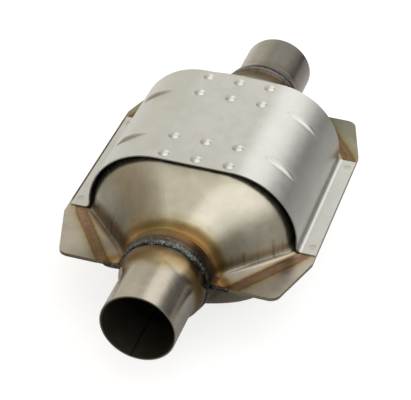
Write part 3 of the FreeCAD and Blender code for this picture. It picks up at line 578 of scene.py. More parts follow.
def ring_heat(tree, place, on_flange, base):
    point_round = place["Round"]
    wander = noise(tree, place["Point"], 0.06)
    ring = total(
        tree,
        use_group(tree, ring_group)["Distance"],
        sway(tree, wander, RING_WANDER, 0.25, 0.75, smooth=False),
        multiply(tree, on_flange, RING_RETREAT),
        ramp(tree, point_round, *DRIFT_ROUND, 0.0, -RING_DRIFT),
    )
    share = ramp(tree, ring, *RING_TINT_SPAN, smooth=False)
    base = mix_colour(tree, 1.0, base, colour_ramp(tree, share, RING_TINT), "MULTIPLY")

    right = multiply(tree, ramp(tree, point_round, *RIGHT_ROUND), fade(tree, ring, *RIGHT_RING))
    base = tint(tree, right, base, RIGHT_TINT)
    left = multiply(tree, fade(tree, point_round, *LEFT_ROUND), fade(tree, ring, *LEFT_RING))
    base = tint(tree, left, base, LEFT_TINT)
    low_right = ramp(tree, point_round, *LOW_RIGHT_ROUND)
    low_right = multiply(tree, low_right, fade(tree, ring, *LOW_RIGHT_RING))
    base = tint(tree, low_right, base, LOW_RIGHT_TINT)

    foot = multiply(
        tree,
        ramp(tree, math_node(tree, "ABSOLUTE", point_round), *FOOT_ROUND),
        ramp(tree, ring, *FOOT_RING_START),
        fade(tree, ring, *FOOT_RING_END),
    )
    base = tint(tree, foot, base, FOOT_DARKENING)
    signed = split(tree, place["Point"])
    rear_collar = multiply(
        tree,
        ramp(tree, signed["Y"], *REAR_COLLAR_ALONG),
        ramp(tree, signed["X"], *REAR_COLLAR_ACROSS, 1.0, REAR_COLLAR_RIGHT),
    )
    return tint(tree, rear_collar, base, REAR_COLLAR_DULL)


print("heat rings reach", RING_TINT_SPAN[1], "mm from the ring weld")

# %% [markdown]
# The roller seam leaves a brown track with purple spots, thin dark edges and a straw fringe on the
# flange, darker at the rear than at the front. Beside the foot of the shield, the narrow strip of
# flange outside the seam is painted almost black, as shade beside the foot.

# %%
# Shell steel: heat along the seam
SEAM_TINT = [
    (0.00, (0.70, 0.50, 0.33)),
    (0.22, (0.66, 0.47, 0.30)),
    (0.31, (0.56, 0.41, 0.25)),
    (0.36, (0.38, 0.29, 0.18)),
    (0.41, (0.60, 0.47, 0.28)),
    (0.52, (0.86, 0.75, 0.51)),
    (0.68, (0.95, 0.90, 0.77)),
    (1.00, (1.00, 1.00, 1.00)),
]
SEAM_TINT_REACH = 11.0
SEAM_RIPPLE = 0.5
SEAM_TRACK = (SEAM_WIDTH / 2 - 0.8, SEAM_WIDTH / 2)
SEAM_PURPLE = (0.50, 0.30, 0.30)
PURPLE_SHARE = 0.6
FRONT_FLANGE_DULL = (0.90, 0.85, 0.89)
REAR_FLANGE_DULL = (0.58, 0.55, 0.48)
# Painted shade: the strip of flange beside the shield's foot is darkened almost to black.
STRIP_SHADE_TONE = (0.11, 0.075, 0.05)
STRIP_ACROSS = (100.6, 101.2)
STRIP_ALONG = (58.0, 64.0)


def seam_heat(tree, place, seam, base):
    """The next colour, and a share that is 1 on the track of the seam."""
    ripple = noise(tree, place["Point"], 0.22)
    ripple = sway(tree, ripple, SEAM_RIPPLE, 0.25, 0.75, smooth=False)
    distance = total(tree, seam["Distance"], ripple)
    share = ramp(tree, distance, 0.0, SEAM_TINT_REACH, smooth=False)
    colour = colour_ramp(tree, share, SEAM_TINT)
    on_track = fade(tree, distance, *SEAM_TRACK)
    spots = ramp(tree, noise(tree, place["Point"], 0.3, 3.0, 0.6), 0.45, 0.62)
    colour = mix_colour(tree, multiply(tree, spots, on_track, PURPLE_SHARE), colour, SEAM_PURPLE)
    dull = mix_colour(tree, at_rear(tree, place), FRONT_FLANGE_DULL, REAR_FLANGE_DULL)
    colour = mix_colour(tree, 1.0, colour, dull, "MULTIPLY")
    base = tint(tree, seam["On_Flange"], base, colour)
    # Painted shade beside the shield's foot, on the flange.
    strip = multiply(
        tree,
        ramp(tree, place["Across"], *STRIP_ACROSS),
        fade(tree, place["Along"], *STRIP_ALONG),
        seam["On_Flange"],
    )
    return mix_colour(tree, strip, base, STRIP_SHADE_TONE), on_track


print("seam track is", SEAM_WIDTH, "mm wide")

# %% [markdown]
# Deep drawing has scored the foot of the dome with fine upright marks. Noise that is stretched
# along Z makes them, and slower noise gathers them in patches. The cut edge of the flange is dark,
# and the lower half is darkened a little with painted shade, as it mirrors the shaded floor.

# %%
# Shell steel: marks and edges
FOOT_DIRECTION = (-0.58, 0.81, 0.0)
MARK_TONE = (0.16, 0.14, 0.105)
MARK_HEIGHT = (6.0, 26.0)
MARK_RAGGED = 8.0
MARK_STRETCH = 0.05
MARK_SHARE = 0.9
SIDE_ROUND = (-5.0, 5.0)
SIDES_APART = 40.0
EDGE_TONE = (0.20, 0.18, 0.14)
EDGE_UPRIGHT = (0.2, 0.5)
# Painted shade: the lower half is darkened, as it mirrors the shaded floor below the part.
UNDERSIDE_SHADE = (0.62, 0.60, 0.52)
UNDERSIDE_UP = (-4.0, -1.0)


def along_the_foot(tree, place):
    """Millimetres along the foot of the dome, growing towards the neck."""
    flat = join(tree, place["Across"], place["Along"])
    return vector_node(tree, "DOT_PRODUCT", flat, FOOT_DIRECTION)


def drawing_marks(tree, place, along_foot, off_flange, base):
    height = math_node(tree, "ABSOLUTE", place["Up"])
    height = total(tree, height, sway(tree, noise(tree, place["Point"], 0.12), MARK_RAGGED))
    side = ramp(tree, place["Round"], *SIDE_ROUND, 0.0, SIDES_APART)
    drawn = join(tree, along_foot, side, multiply(tree, place["Up"], MARK_STRETCH))
    streaks = ramp(tree, noise(tree, drawn, 0.3, 3.0, 0.65), 0.42, 0.64)
    patches = ramp(tree, noise(tree, drawn, 0.08), 0.40, 0.56)
    low_down = fade(tree, height, *MARK_HEIGHT)
    marked = multiply(tree, low_down, streaks, patches, off_flange, MARK_SHARE)
    return mix_colour(tree, marked, base, MARK_TONE)


def edge_and_underside_shade(tree, place, on_flange, base):
    normal = split(tree, add(tree, "TexCoord").outputs["Normal"])
    upright = math_node(tree, "ABSOLUTE", normal["Z"])
    edge = multiply(tree, fade(tree, upright, *EDGE_UPRIGHT), on_flange)
    base = mix_colour(tree, edge, base, EDGE_TONE)
    # Painted shade on the lower half.
    return tint(tree, fade(tree, place["Up"], *UNDERSIDE_UP), base, UNDERSIDE_SHADE)


print("marks reach", MARK_HEIGHT[1], "mm up the dome")

# %% [markdown]
# The last step joins them. The track of the seam and the foot of the dome are rougher than the
# rest. The strip between them isn't quite flat: it curves up gently before the tight bend of the
# dome, and a bump shades that curve.

# %%
# Shell steel
SHELL_TONE_DARK = (0.430, 0.403, 0.332)
SHELL_TONE_LIGHT = (0.487, 0.458, 0.382)
SHELL_STRETCH = (0.5, 0.5, 0.04)
SHELL_ROUGHNESS = (0.27, 0.33)
TRACK_ROUGHNESS = 0.12
FOOT_ROUGHNESS = 0.14
FOOT_UP = (3.0, 14.0)
SHELL_DENT = 0.03
LIFT_ALONG_FOOT = (7.0, 60.0)
LIFT_WIDTH = (7.5, 15.5)
LIFT_SLOPE = 0.3


def strip_lift(tree, seam, along_foot):
    """Height in mm by which the strip beside the dome curves up."""
    width = ramp(tree, along_foot, *LIFT_ALONG_FOOT, *LIFT_WIDTH, smooth=False)
    reach = math_node(tree, "DIVIDE", seam["Inward"], width, clamp=True)
    return multiply(tree, reach, reach, multiply(tree, width, LIFT_SLOPE))


def shell_material():
    material, tree, shader = new_material("shell_steel")
    place = use_group(tree, place_group)
    sheet = use_group(tree, sheet_group, {"Point": place["Point"], "Stretch": SHELL_STRETCH})
    seam = use_group(tree, seam_group)
    on_flange = seam["On_Flange"]
    off_flange = math_node(tree, "SUBTRACT", 1.0, on_flange)
    along_foot = along_the_foot(tree, place)

    base = sheet_colour(tree, sheet, SHELL_TONE_DARK, SHELL_TONE_LIGHT)
    base = ring_heat(tree, place, on_flange, base)
    base, on_track = seam_heat(tree, place, seam, base)
    base = drawing_marks(tree, place, along_foot, off_flange, base)
    base = edge_and_underside_shade(tree, place, on_flange, base)
    tree.links.new(base, shader.inputs["Base Color"])

    rough_foot = ramp(tree, place["Up"], *FOOT_UP, FOOT_ROUGHNESS, 0.0)
    roughness = total(
        tree,
        sheet_roughness(tree, sheet, *SHELL_ROUGHNESS),
        multiply(tree, on_track, on_flange, TRACK_ROUGHNESS),
        multiply(tree, rough_foot, off_flange),
    )
    tree.links.new(roughness, shader.inputs["Roughness"])
    dent = multiply(tree, sheet["Height"], SHELL_DENT)
    add_bump(tree, shader, total(tree, dent, strip_lift(tree, seam, along_foot)), 1.0)
    return material


dress(shell_material(), "upper_shell", "lower_shell")

# %% [markdown]
# ### Heat shield
# The shield is a smoother and more neutral sheet. Its rolling lines run along the pipes, and each
# spot weld has left a faint grainy mark on its foot. Four small painted discs could stand for the
# marks, but the distance to the nearest spot draws all four at once and lets noise fray them.

# %%
# Shield steel
SHIELD_TONE_DARK = (0.505, 0.501, 0.483)
SHIELD_TONE_LIGHT = (0.552, 0.548, 0.530)
SHIELD_STRETCH = (0.5, 0.015, 0.5)
SHIELD_ROUGHNESS = (0.34, 0.40)
SHIELD_DENT = 0.02
SPOT_TONE = (0.36, 0.34, 0.30)
SPOT_EDGE = (SPOT_RADIUS - 1.5, SPOT_RADIUS + 0.8)
SPOT_FRAY = 0.9
SPOT_GRAIN = (0.1, 0.75)


def shield_material():
    material, tree, shader = new_material("shield_steel")
    place = use_group(tree, place_group)
    sheet = use_group(tree, sheet_group, {"Point": place["Point"], "Stretch": SHIELD_STRETCH})
    base = sheet_colour(tree, sheet, SHIELD_TONE_DARK, SHIELD_TONE_LIGHT)

    from_middle = math_node(tree, "SUBTRACT", split(tree, place["Point"])["X"], SHIELD_SHIFT)
    across = math_node(tree, "SUBTRACT", math_node(tree, "ABSOLUTE", from_middle), SPOT_ACROSS)
    along = math_node(tree, "SUBTRACT", place["Along"], SPOT_ALONG)
    from_spot = vector_node(tree, "LENGTH", join(tree, across, along))
    fray = sway(tree, noise(tree, place["Point"], 0.8, 3.0, 0.7), SPOT_FRAY, smooth=False)
    grain = ramp(tree, noise(tree, place["Point"], 1.1, 3.0, 0.7), 0.35, 0.65, *SPOT_GRAIN)
    mark = multiply(tree, fade(tree, total(tree, from_spot, fray), *SPOT_EDGE), grain)
    tree.links.new(mix_colour(tree, mark, base, SPOT_TONE), shader.inputs["Base Color"])
    roughness = sheet_roughness(tree, sheet, *SHIELD_ROUGHNESS)
    tree.links.new(roughness, shader.inputs["Roughness"])
    add_bump(tree, shader, sheet["Height"], SHIELD_DENT)
    return material


dress(shield_material(), "heat_shield")

# %% [markdown]
# ### Necks
# A neck is drawn tube, satin outside. The ring weld has left a band of brown, gold and straw on
# its flare, and the right flank of that band is dark. The rear neck is duller than the front one,
# with a dark side and a brown foot. One material serves both necks: a share that is 1 at the rear
# switches those changes on, so the two can't drift apart.

# %%
# Neck steel: heat
NECK_TINT = [
    (0.00, (0.15, 0.13, 0.10)),
    (0.12, (0.29, 0.23, 0.15)),
    (0.20, (0.42, 0.31, 0.19)),
    (0.30, (0.58, 0.43, 0.25)),
    (0.42, (0.70, 0.55, 0.34)),
    (0.55, (0.80, 0.69, 0.49)),
    (0.72, (0.92, 0.86, 0.72)),
    (1.00, (1.00, 1.00, 1.00)),
]
NECK_TINT_REACH = 20.0
NECK_WANDER = (0.8, 1.25)
FLANK_DARK = (0.40, 0.36, 0.30)
FLANK_ROUND = (22.0, 30.0)
FLANK_START = (1.0, 7.0)
FLANK_LEAST = 0.3
FLANK_END = (10.0, 19.0)
REAR_NECK_DULL = (0.76, 0.76, 0.78)
REAR_SIDE_DARK = (0.38, 0.39, 0.38)
REAR_SIDE_START = (-14.0, 11.0)
REAR_SIDE_END = (20.0, 42.0)
REAR_FOOT_BROWN = (0.50, 0.36, 0.20)
REAR_FOOT_REACH = (7.0, 23.0)


def neck_heat(tree, place, from_toe, base):
    wander = noise(tree, place["Point"], 0.05)
    wander = ramp(tree, wander, 0.3, 0.7, *NECK_WANDER, smooth=False)
    share = ramp(tree, multiply(tree, from_toe, wander), 0.0, NECK_TINT_REACH, smooth=False)
    base = mix_colour(tree, 1.0, base, colour_ramp(tree, share, NECK_TINT), "MULTIPLY")
    flank = multiply(
        tree,
        ramp(tree, place["Round"], *FLANK_ROUND),
        fade(tree, from_toe, *FLANK_END),
        ramp(tree, from_toe, *FLANK_START, FLANK_LEAST, 1.0),
    )
    return tint(tree, flank, base, FLANK_DARK)


def rear_neck(tree, place, from_toe, base):
    rear = at_rear(tree, place)
    base = tint(tree, rear, base, REAR_NECK_DULL)
    side = multiply(
        tree,
        ramp(tree, place["Round"], *REAR_SIDE_START),
        fade(tree, place["Round"], *REAR_SIDE_END),
        rear,
    )
    base = tint(tree, side, base, REAR_SIDE_DARK)
    foot = multiply(tree, rear, fade(tree, from_toe, *REAR_FOOT_REACH))
    return tint(tree, foot, base, REAR_FOOT_BROWN)


print("heat reaches", NECK_TINT_REACH, "mm up a neck")

# %% [markdown]
# Inside, the tube is rougher, and its colour is painted dark as the shade deep in a bore. One
# straight line shows its own seam. The inner and the outer surface lie either side of the middle of
# the wall, so the distance from the axis tells them apart.

# %%
# Neck steel
NECK_TONE_DARK = (0.365, 0.331, 0.278)
NECK_TONE_LIGHT = (0.422, 0.384, 0.331)
NECK_STRETCH = (0.6, 0.03, 0.6)
# Painted shade: the inside of the bore is darkened.
NECK_INSIDE_SHADE = (0.11, 0.103, 0.08)
NECK_SEAM_INSIDE = (0.02, 0.018, 0.016)
NECK_SEAM_ROUND = -108.0
NECK_SEAM_EDGE = (0.6, 1.8)
NECK_SEAM_SHARE = 0.6
WALL_BLEND = 0.3
NECK_ROUGHNESS = (0.22, 0.28)
INSIDE_ROUGHNESS = 0.3
NECK_DENT = 0.02


def inside_neck(tree, place):
    """A share that is 1 on the inner surface of the neck."""
    middle = (NECK_RADIUS - SHEET / 2, BORE_RADIUS + SHEET / 2)
    wall = ramp(tree, place["Along"], *FLARE_ALONG, *middle)
    from_wall = math_node(tree, "SUBTRACT", place["Radius"], wall)
    return fade(tree, from_wall, -WALL_BLEND, WALL_BLEND)


def neck_material():
    material, tree, shader = new_material("neck_steel")
    place = use_group(tree, place_group)
    sheet = use_group(tree, sheet_group, {"Point": place["Point"], "Stretch": NECK_STRETCH})
    from_toe = math_node(tree, "SUBTRACT", place["Along"], WELD_TOE + 0.2)
    base = sheet_colour(tree, sheet, NECK_TONE_DARK, NECK_TONE_LIGHT)
    base = neck_heat(tree, place, from_toe, base)
    base = rear_neck(tree, place, from_toe, base)

    from_seam = math_node(tree, "SUBTRACT", place["Round"], NECK_SEAM_ROUND)
    from_seam = math_node(tree, "ABSOLUTE", from_seam)
    seam = ramp(tree, from_seam, *NECK_SEAM_EDGE, NECK_SEAM_SHARE, 0.0)
    # Painted shade inside the bore, with the darker line of the tube's own seam.
    dull = mix_colour(tree, seam, NECK_INSIDE_SHADE, NECK_SEAM_INSIDE)
    inside = inside_neck(tree, place)
    tree.links.new(mix_colour(tree, inside, base, dull), shader.inputs["Base Color"])
    roughness = sheet_roughness(tree, sheet, *NECK_ROUGHNESS)
    roughness = total(tree, roughness, multiply(tree, inside, INSIDE_ROUGHNESS))
    tree.links.new(roughness, shader.inputs["Roughness"])
    add_bump(tree, shader, sheet["Height"], NECK_DENT)
    return material


dress(neck_material(), "inlet_neck", "outlet_neck")

# %% [markdown]
# ### Welds
# A weld bead is a row of frozen ripples, each a crescent that lags behind at its edges. They cast
# shadows of their own, so they are real geometry here: one function gives the height of the
# ripples at a place on the bead, and two others wrap a bead round a neck and lay one beside it.
# The half of the bead at its toe on the neck is rippled, and the half at its heel on the shell is
# smooth. The plain beads of the model are hidden, because these pieces stand for them.

# %%
# Ripples of a bead
RIPPLE_LENGTH = 2.6
RIPPLE_LAG = 0.45
RIPPLE_DEPTH = 0.22
SMOOTH_FROM = -0.25
SMOOTH_TO = 0.1


def ripple_height(steps, side, place):
    """Height in mm at a count of ripples along the bead and a place from -1 to 1 across it."""
    drift = 0.5 * wobble.noise(place * 0.12) + 0.25 * wobble.noise(place * 0.4)
    crest = abs(math.sin(math.pi * (steps - RIPPLE_LAG * side * side + drift)))
    edge = 1 - side ** 4
    smooth = min(1, max(0, (SMOOTH_TO - side) / (SMOOTH_TO - SMOOTH_FROM)))
    lump = 0.45 * wobble.noise(place * 0.22) + 0.25 * wobble.noise(place * 0.6)
    return edge * smooth * (RIPPLE_DEPTH * (crest ** 0.7 - 0.75) + lump)


on_crest = ripple_height(0.5 + RIPPLE_LAG / 4, -0.5, Vector((0, 0, 0)))
in_trough = ripple_height(RIPPLE_LAG / 4, -0.5, Vector((0, 0, 0)))
print("crest and trough in mm:", round(on_crest, 3), round(in_trough, 3))

# %% [markdown]
# Both kinds of bead are grids of vertices. `close_grid` makes the faces between the rows, and
# `weld_object` turns them into a piece that rides with the part.

# %%
# From a grid to a piece
def close_grid(bm, rows, wrap):
    """Faces between neighbouring rows of vertices, and between the last and first if wrapped."""
    pairs = list(zip(rows, rows[1:]))
    if wrap:
        pairs.append((rows[-1], rows[0]))
    for row, following in pairs:
        for place in range(len(row)):
            after = (place + 1) % len(row)
            bm.faces.new((row[place], row[after], following[after], following[place]))


def weld_object(name, bm, node):
    bmesh.ops.recalc_face_normals(bm, faces=bm.faces)
    mesh = bpy.data.meshes.new(name)
    bm.to_mesh(mesh)
    bm.free()
    mesh.shade_smooth()
    piece = bpy.data.objects.new(name, mesh)
    bpy.context.scene.collection.objects.link(piece)
    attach(piece, "root")
    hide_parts(node)
    return piece


print("ready to make beads")

# %% [markdown]
# The ring bead is a grid that runs round the neck and across the bead, from its toe on the neck to
# its heel on the shell. The face bulges along an arc, and three more rows close it from below.

# %%
# Ring beads
RING_BULGE = 1.05
RING_FRAY = 0.5
SAMPLES_PER_RIPPLE = 8
ROWS_ACROSS = 14
RING_UNDERSIDE = [
    (WELD_HEEL, COLLAR_RADIUS - SHEET / 2),
    (FLANGE_END, COLLAR_RADIUS - SHEET / 2),
    (FLANGE_END, NECK_RADIUS - 0.1),
]


def ring_bead(name, node, end):
    toe = Vector((WELD_TOE, NECK_RADIUS))
    heel = Vector((WELD_HEEL, COLLAR_RADIUS))
    chord = heel - toe
    outward = Vector((chord.y, -chord.x)).normalized()
    ripples = round(2 * math.pi * (COLLAR_RADIUS + 1) / RIPPLE_LENGTH)
    count = ripples * SAMPLES_PER_RIPPLE
    bm = bmesh.new()
    rows = []
    for step in range(count):
        angle = 2 * math.pi * step / count
        around = Vector((math.sin(angle), 0, math.cos(angle)))
        section = []
        for row in range(ROWS_ACROSS + 1):
            side = 2 * row / ROWS_ACROSS - 1
            spot = around * COLLAR_RADIUS + Vector((0, end * (200 + 5 * side), 0))
            fray = RING_FRAY * wobble.noise(around * 9 + Vector((0, 50 * end, 0))) * side
            rise = RING_BULGE * (1 - side * side)
            rise += ripple_height(step / SAMPLES_PER_RIPPLE, side, spot)
            place = toe + chord * (row / ROWS_ACROSS) + outward * rise
            section.append(place + Vector((fray, 0)))
        section += [Vector(corner) for corner in RING_UNDERSIDE]
        rows.append([
            bm.verts.new((around * flat.y + Vector((0, end * flat.x, AXIS_HEIGHT))) * MM)
            for flat in section
        ])
    close_grid(bm, rows, wrap=True)
    return weld_object(name, bm, node)


inlet_ring = ring_bead("inlet_ring_bead", "inlet_neck_weld", -1)
outlet_ring = ring_bead("outlet_ring_bead", "outlet_neck_weld", 1)
print("ring bead faces:", len(inlet_ring.data.polygons), len(outlet_ring.data.polygons))

# %% [markdown]
# Beside each neck a short bead closes the two flanges. It is a half spindle that lies on the end
# of the flange, thick in the middle and thin at its tips.

# %%
# Short beads on the flange ends
TIE_MIDDLE = 43.5
TIE_HALF_LENGTH = 7.5
TIE_REACH = 2.2
TIE_HALF_HEIGHT = 2.6
TIE_SWELL = 0.12
TIE_ROWS = 48
TIE_ACROSS = 12


def tie_bead(name, node, side, end):
    bm = bmesh.new()
    rows = []
    for row in range(1, TIE_ROWS):
        turn = math.pi * row / TIE_ROWS
        along = -TIE_HALF_LENGTH * math.cos(turn)
        full = math.sin(turn) ** 0.6
        points = []
        for column in range(TIE_ACROSS + 1):
            share = 2 * column / TIE_ACROSS - 1
            lean = share * math.pi / 2
            spot = Vector((along + 20 * side, 30 * end, 4 * share))
            swell = full * (1 + TIE_SWELL * ripple_height(along / RIPPLE_LENGTH, share, spot))
            points.append(bm.verts.new(Vector((
                side * (TIE_MIDDLE + along),
                end * (FLANGE_END + TIE_REACH * swell * math.cos(lean)),
                AXIS_HEIGHT + TIE_HALF_HEIGHT * swell * math.sin(lean),
            )) * MM))
        rows.append(points)
    close_grid(bm, rows, wrap=False)
    for cap in (rows[0], rows[-1]):
        bm.faces.new(cap)
    return weld_object(name, bm, node)


for end_name, end in (("inlet", -1), ("outlet", 1)):
    for side_name, side in (("left", -1), ("right", 1)):
        corner = f"{end_name}_{side_name}"
        tie = tie_bead(f"{corner}_tie_bead", f"{corner}_flange_weld", side, end)
        print(tie.name, "faces:", len(tie.data.polygons))

# %% [markdown]
# The bead is dark scale over steel. It is blackest at its toe on the neck, grey on its crown and
# brown where it runs out on the shell. Small bare places on the crown glint, and the bead is
# darker low on the right.

# %%
# Weld metal
WELD_ALONG = [
    (0.00, (0.130, 0.085, 0.050)),
    (0.28, (0.125, 0.085, 0.060)),
    (0.46, (0.105, 0.080, 0.064)),
    (0.54, (0.060, 0.055, 0.048)),
    (0.66, (0.128, 0.134, 0.134)),
    (0.78, (0.112, 0.117, 0.116)),
    (0.86, (0.040, 0.037, 0.030)),
    (1.00, (0.012, 0.011, 0.009)),
]
WELD_SPAN = (WELD_HEEL - 1.0, WELD_TOE + 0.2)
WELD_SCALE = (0.65, 1.3)
WELD_CROWN = (RING_MIDDLE - 1.0, RING_MIDDLE + 1.0)
WELD_GLINT = (0.36, 0.37, 0.37)
GLINT_SHARE = 0.45
WELD_LOW_RIGHT = (0.50, 0.50, 0.45)
WELD_RIGHT_ROUND = (18.0, 34.0)
WELD_ROUGHNESS = (0.34, 0.46)
WELD_DENT = 0.35


def weld_material():
    material, tree, shader = new_material("weld_metal")
    place = use_group(tree, place_group)
    share = ramp(tree, place["Along"], *WELD_SPAN, smooth=False)
    scale = ramp(tree, noise(tree, place["Point"], 0.35, 4.0, 0.65), 0.35, 0.65, *WELD_SCALE)
    base = colour_ramp(tree, share, WELD_ALONG)
    base = mix_colour(tree, 1.0, base, grey(tree, scale), "MULTIPLY")

    crown = ramp(tree, place["Along"], *WELD_CROWN)
    bare = ramp(tree, noise(tree, place["Point"], 0.35, 2.0, 0.6), 0.50, 0.70, 0.0, GLINT_SHARE)
    base = mix_colour(tree, multiply(tree, bare, crown), base, WELD_GLINT)
    low_right = ramp(tree, place["Round"], *WELD_RIGHT_ROUND)
    base = tint(tree, low_right, base, WELD_LOW_RIGHT)
    tree.links.new(base, shader.inputs["Base Color"])
    tree.links.new(ramp(tree, scale, *WELD_SCALE, *WELD_ROUGHNESS), shader.inputs["Roughness"])
    grain = noise(tree, place["Point"], 0.6, 3.0, 0.6)
    add_bump(tree, shader, multiply(tree, grain, crown), WELD_DENT)
    return material


weld_metal = weld_material()
for piece in bpy.data.objects:
    if piece.name.endswith("_bead"):
        piece.data.materials.append(weld_metal)
for name in sorted(nodes):
    if name.endswith("_weld"):
        dress(weld_metal, name)

# %% [markdown]
# ### Bricks
# Each brick is a ceramic honeycomb. Its channels run along the pipes, so a square grid across X
# and Z draws their openings on the end faces. Thousands of real holes would slow everything down,
# and the bricks lie hidden in the shell, so pale walls and dark cells of painted shade are enough.

# %%
# Ceramic
CELL = 1.27
CELL_WALL = (0.36, 0.44)
COAT_DARK = (0.36, 0.30, 0.20)
COAT_LIGHT = (0.52, 0.45, 0.33)
# Painted shade: the dark of a cell stands for the shade deep in a channel.
CELL_SHADE = (0.02, 0.018, 0.015)


def brick_material():
    material, tree, shader = new_material("ceramic_honeycomb", metallic=0.0)
    place = use_group(tree, place_group)
    parts = split(tree, vector_node(tree, "FRACTION", scaled(tree, place["Point"], 1 / CELL)))
    walls = []
    for axis in ("X", "Z"):
        middle = math_node(tree, "ABSOLUTE", math_node(tree, "SUBTRACT", parts[axis], 0.5))
        walls.append(ramp(tree, middle, *CELL_WALL))
    wall = math_node(tree, "MAXIMUM", *walls)
    coat = mix_colour(tree, noise(tree, place["Point"], 0.2, 3.0), COAT_DARK, COAT_LIGHT)
    # Painted shade in the cells, between the pale walls.
    tree.links.new(mix_colour(tree, wall, CELL_SHADE, coat), shader.inputs["Base Color"])
    shader.inputs["Roughness"].default_value = 0.9
    add_bump(tree, shader, wall, 0.4)
    return material


dress(brick_material(), "inlet_brick", "outlet_brick")

# %% [markdown]
# ### Mats and seals
# A mat is felted fibre with golden specks that swell when they get hot, and noise stretched along
# the pipe gives its fibres. A seal is knitted wire: two sets of slanting waves cross on it, and the
# gaps between the wires are painted dark as shade. Hair and curves could make real strands, but
# these pieces are hidden, so a pattern does.

# %%
# Fibre and wire mesh
FIBRE_STRETCH = (1.0, 0.15, 1.0)
FIBRE_DARK = (0.45, 0.40, 0.30)
FIBRE_LIGHT = (0.72, 0.68, 0.56)
SPECK_TONE = (0.42, 0.33, 0.16)
KNIT_SLANT = 0.8
KNIT_TURN = 4.2
# Painted shade: the dark between the wires stands for the gaps in the knit.
WIRE_GAP_SHADE = (0.05, 0.05, 0.048)
WIRE_LIGHT = (0.50, 0.49, 0.46)


def fibre_material():
    material, tree, shader = new_material("mat_fibre", metallic=0.0)
    place = use_group(tree, place_group)
    long_way = vector_node(tree, "MULTIPLY", place["Point"], FIBRE_STRETCH)
    fibres = noise(tree, long_way, 1.6, 5.0, 0.7, 1.5)
    specks = ramp(tree, noise(tree, place["Point"], 0.9, 1.0), 0.62, 0.70)
    base = mix_colour(tree, fibres, FIBRE_DARK, FIBRE_LIGHT)
    tree.links.new(mix_colour(tree, specks, base, SPECK_TONE), shader.inputs["Base Color"])
    shader.inputs["Roughness"].default_value = 0.95
    add_bump(tree, shader, fibres, 0.5)
    return material


def mesh_material():
    material, tree, shader = new_material("knitted_wire")
    place = use_group(tree, place_group)
    waves = []
    for slant in (KNIT_SLANT, -KNIT_SLANT):
        slanted = total(tree, place["Round"], multiply(tree, place["Along"], slant))
        waves.append(math_node(tree, "SINE", multiply(tree, slanted, KNIT_TURN)))
    weave = math_node(tree, "MAXIMUM", *waves)
    # Painted shade in the gaps between the wires.
    base = mix_colour(tree, ramp(tree, weave, -0.2, 0.8), WIRE_GAP_SHADE, WIRE_LIGHT)
    tree.links.new(base, shader.inputs["Base Color"])
    tree.links.new(ramp(tree, weave, -0.2, 0.8, 0.7, 0.35), shader.inputs["Roughness"])
    add_bump(tree, shader, weave, 0.4)
    return material


dress(fibre_material(), "inlet_mat", "outlet_mat")
dress(mesh_material(), *sorted(name for name in nodes if name.endswith("_seal")))

# %% [markdown]
# ## Floor
# The photo has a plain white background. The camera sees the floor mostly as white light of its
# own, so that only a faint shadow is left on it. Metal mirrors painted light and shade on the floor
# instead: paler on the left than on the right, and darker towards the front left. The light path
# node tells the two kinds of ray apart, so one floor can serve both.

# %%
# Floor
FLOOR_HALF = 4.0
FLOOR_SEEN = 0.35
FLOOR_GLOW = 0.76
FLOOR_LEFT = 0.95
FLOOR_RIGHT = 0.45
FLOOR_SIDES = (-0.3, 0.3)
FLOOR_FRONT_LEFT = 0.45
FLOOR_CORNER = (-0.32, -0.18)


def floor_material():
    material, tree, shader = new_material("floor", metallic=0.0)
    shader.inputs["Roughness"].default_value = 1.0
    shader.inputs["Specular IOR Level"].default_value = 0.0
    shader.inputs["Emission Color"].default_value = (1, 1, 1, 1)
    seen = add(tree, "LightPath").outputs["Is Camera Ray"]
    mirrored = math_node(tree, "SUBTRACT", 1.0, seen)
    parts = split(tree, add(tree, "TexCoord").outputs["Object"])
    # Painted light and shade on the floor that metal mirrors.
    shade = ramp(tree, parts["X"], *FLOOR_SIDES, FLOOR_LEFT, FLOOR_RIGHT)
    diagonal = total(tree, parts["X"], parts["Y"])
    corner = ramp(tree, diagonal, *FLOOR_CORNER, FLOOR_FRONT_LEFT, 1.0)
    level = total(
        tree,
        multiply(tree, seen, FLOOR_SEEN),
        multiply(tree, mirrored, multiply(tree, shade, corner)),
    )
    tree.links.new(grey(tree, level), shader.inputs["Base Color"])
    tree.links.new(multiply(tree, seen, FLOOR_GLOW), shader.inputs["Emission Strength"])
    return material


def make_floor():
    half = FLOOR_HALF
    corners = [(-half, -half, 0), (half, -half, 0), (half, half, 0), (-half, half, 0)]
    mesh = bpy.data.meshes.new("floor")
    mesh.from_pydata(corners, [], [(0, 1, 2, 3)])
    mesh.materials.append(floor_material())
    floor = bpy.data.objects.new("floor", mesh)
    bpy.context.scene.collection.objects.link(floor)


make_floor()
print("floor is", 2 * FLOOR_HALF, "m wide")

# %% [markdown]
# ## Light
# Metal shows the room that it stands in, so the room is the light: a pale sky with soft panels in
# it. A panel is a place in the sky. Its azimuth is 0 behind the object and 90 on its right, and
# its elevation is measured up from the level. The group gives a mask that is 1 inside a panel.

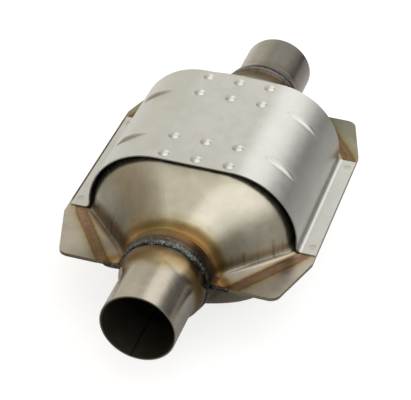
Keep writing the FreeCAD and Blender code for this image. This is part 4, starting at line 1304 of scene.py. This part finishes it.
# %%
# Shader group: a soft panel in the sky
def make_panel_group():
    tree, given, out = new_group("sky_panel", [
        ("Azimuth", "Float"),
        ("Elevation", "Float"),
        ("Half_Width", "Float"),
        ("Half_Height", "Float"),
        ("Soft_Edge", "Float"),
    ], [("Mask", "Float")])
    parts = split(tree, add(tree, "TexCoord").outputs["Generated"])
    azimuth = math_node(tree, "DEGREES", math_node(tree, "ARCTAN2", parts["X"], parts["Y"]))
    elevation = math_node(tree, "DEGREES", math_node(tree, "ARCSINE", parts["Z"]))
    masks = []
    for angle, middle, half in (
        (azimuth, "Azimuth", "Half_Width"),
        (elevation, "Elevation", "Half_Height"),
    ):
        apart = math_node(tree, "SUBTRACT", angle, given[middle])
        apart = math_node(tree, "ABSOLUTE", math_node(tree, "WRAP", apart, 180.0, -180.0))
        beyond = math_node(tree, "SUBTRACT", apart, given[half])
        masks.append(fade(tree, beyond, 0.0, given["Soft_Edge"]))
    tree.links.new(multiply(tree, *masks), out["Mask"])
    return tree


panel_group = make_panel_group()
print("panel group has", len(panel_group.nodes), "nodes")

# %% [markdown]
# The panels are laid over the sky one after another. Dim ones on the left and low on the right
# give the tubes their darker flanks, bright ones high up on the right and behind give the
# highlights on the shield and the dome, and a dark one on the right gives the shield's shoulder its
# dark side. Lamps could light the part too, but metal would show them as small hard spots. The
# camera itself sees plain white.

# %%
# The sky and its panels: azimuth, elevation, half width, half height, soft edge and colour
SKY_LOW = (0.95, 0.93, 0.81)
SKY_HIGH = (1.19, 1.17, 1.05)
SKY_UP = (0.1, 0.9)
PANELS = [
    (-100, 52, 80, 8, 15, (0.74, 0.72, 0.63)),
    (-135, 10, 50, 20, 40, (0.46, 0.39, 0.30)),
    (110, 0, 45, 8, 22, (0.50, 0.48, 0.43)),
    (135, 68, 60, 8, 12, (1.60, 1.59, 1.53)),
    (120, 57, 50, 20, 30, (1.75, 1.75, 1.72)),
    (51, 5, 21, 22, 14, (0.15, 0.15, 0.14)),
    (12, 38, 14, 30, 8, (1.65, 1.64, 1.59)),
]
PANEL_INPUTS = ("Azimuth", "Elevation", "Half_Width", "Half_Height", "Soft_Edge")


def make_sky():
    world = bpy.data.worlds.new("studio")
    world.use_nodes = True
    tree = world.node_tree
    background = tree.nodes["Background"]
    up = split(tree, add(tree, "TexCoord").outputs["Generated"])["Z"]
    sky = mix_colour(tree, ramp(tree, up, *SKY_UP), SKY_LOW, SKY_HIGH)
    for *measures, colour in PANELS:
        mask = use_group(tree, panel_group, dict(zip(PANEL_INPUTS, measures)))["Mask"]
        sky = mix_colour(tree, mask, sky, colour)
    seen = add(tree, "LightPath").outputs["Is Camera Ray"]
    tree.links.new(mix_colour(tree, seen, sky, (1.0, 1.0, 1.0)), background.inputs["Color"])
    return world


bpy.context.scene.world = make_sky()
bpy.context.scene.view_settings.view_transform = "Standard"
print("sky panels:", len(PANELS))
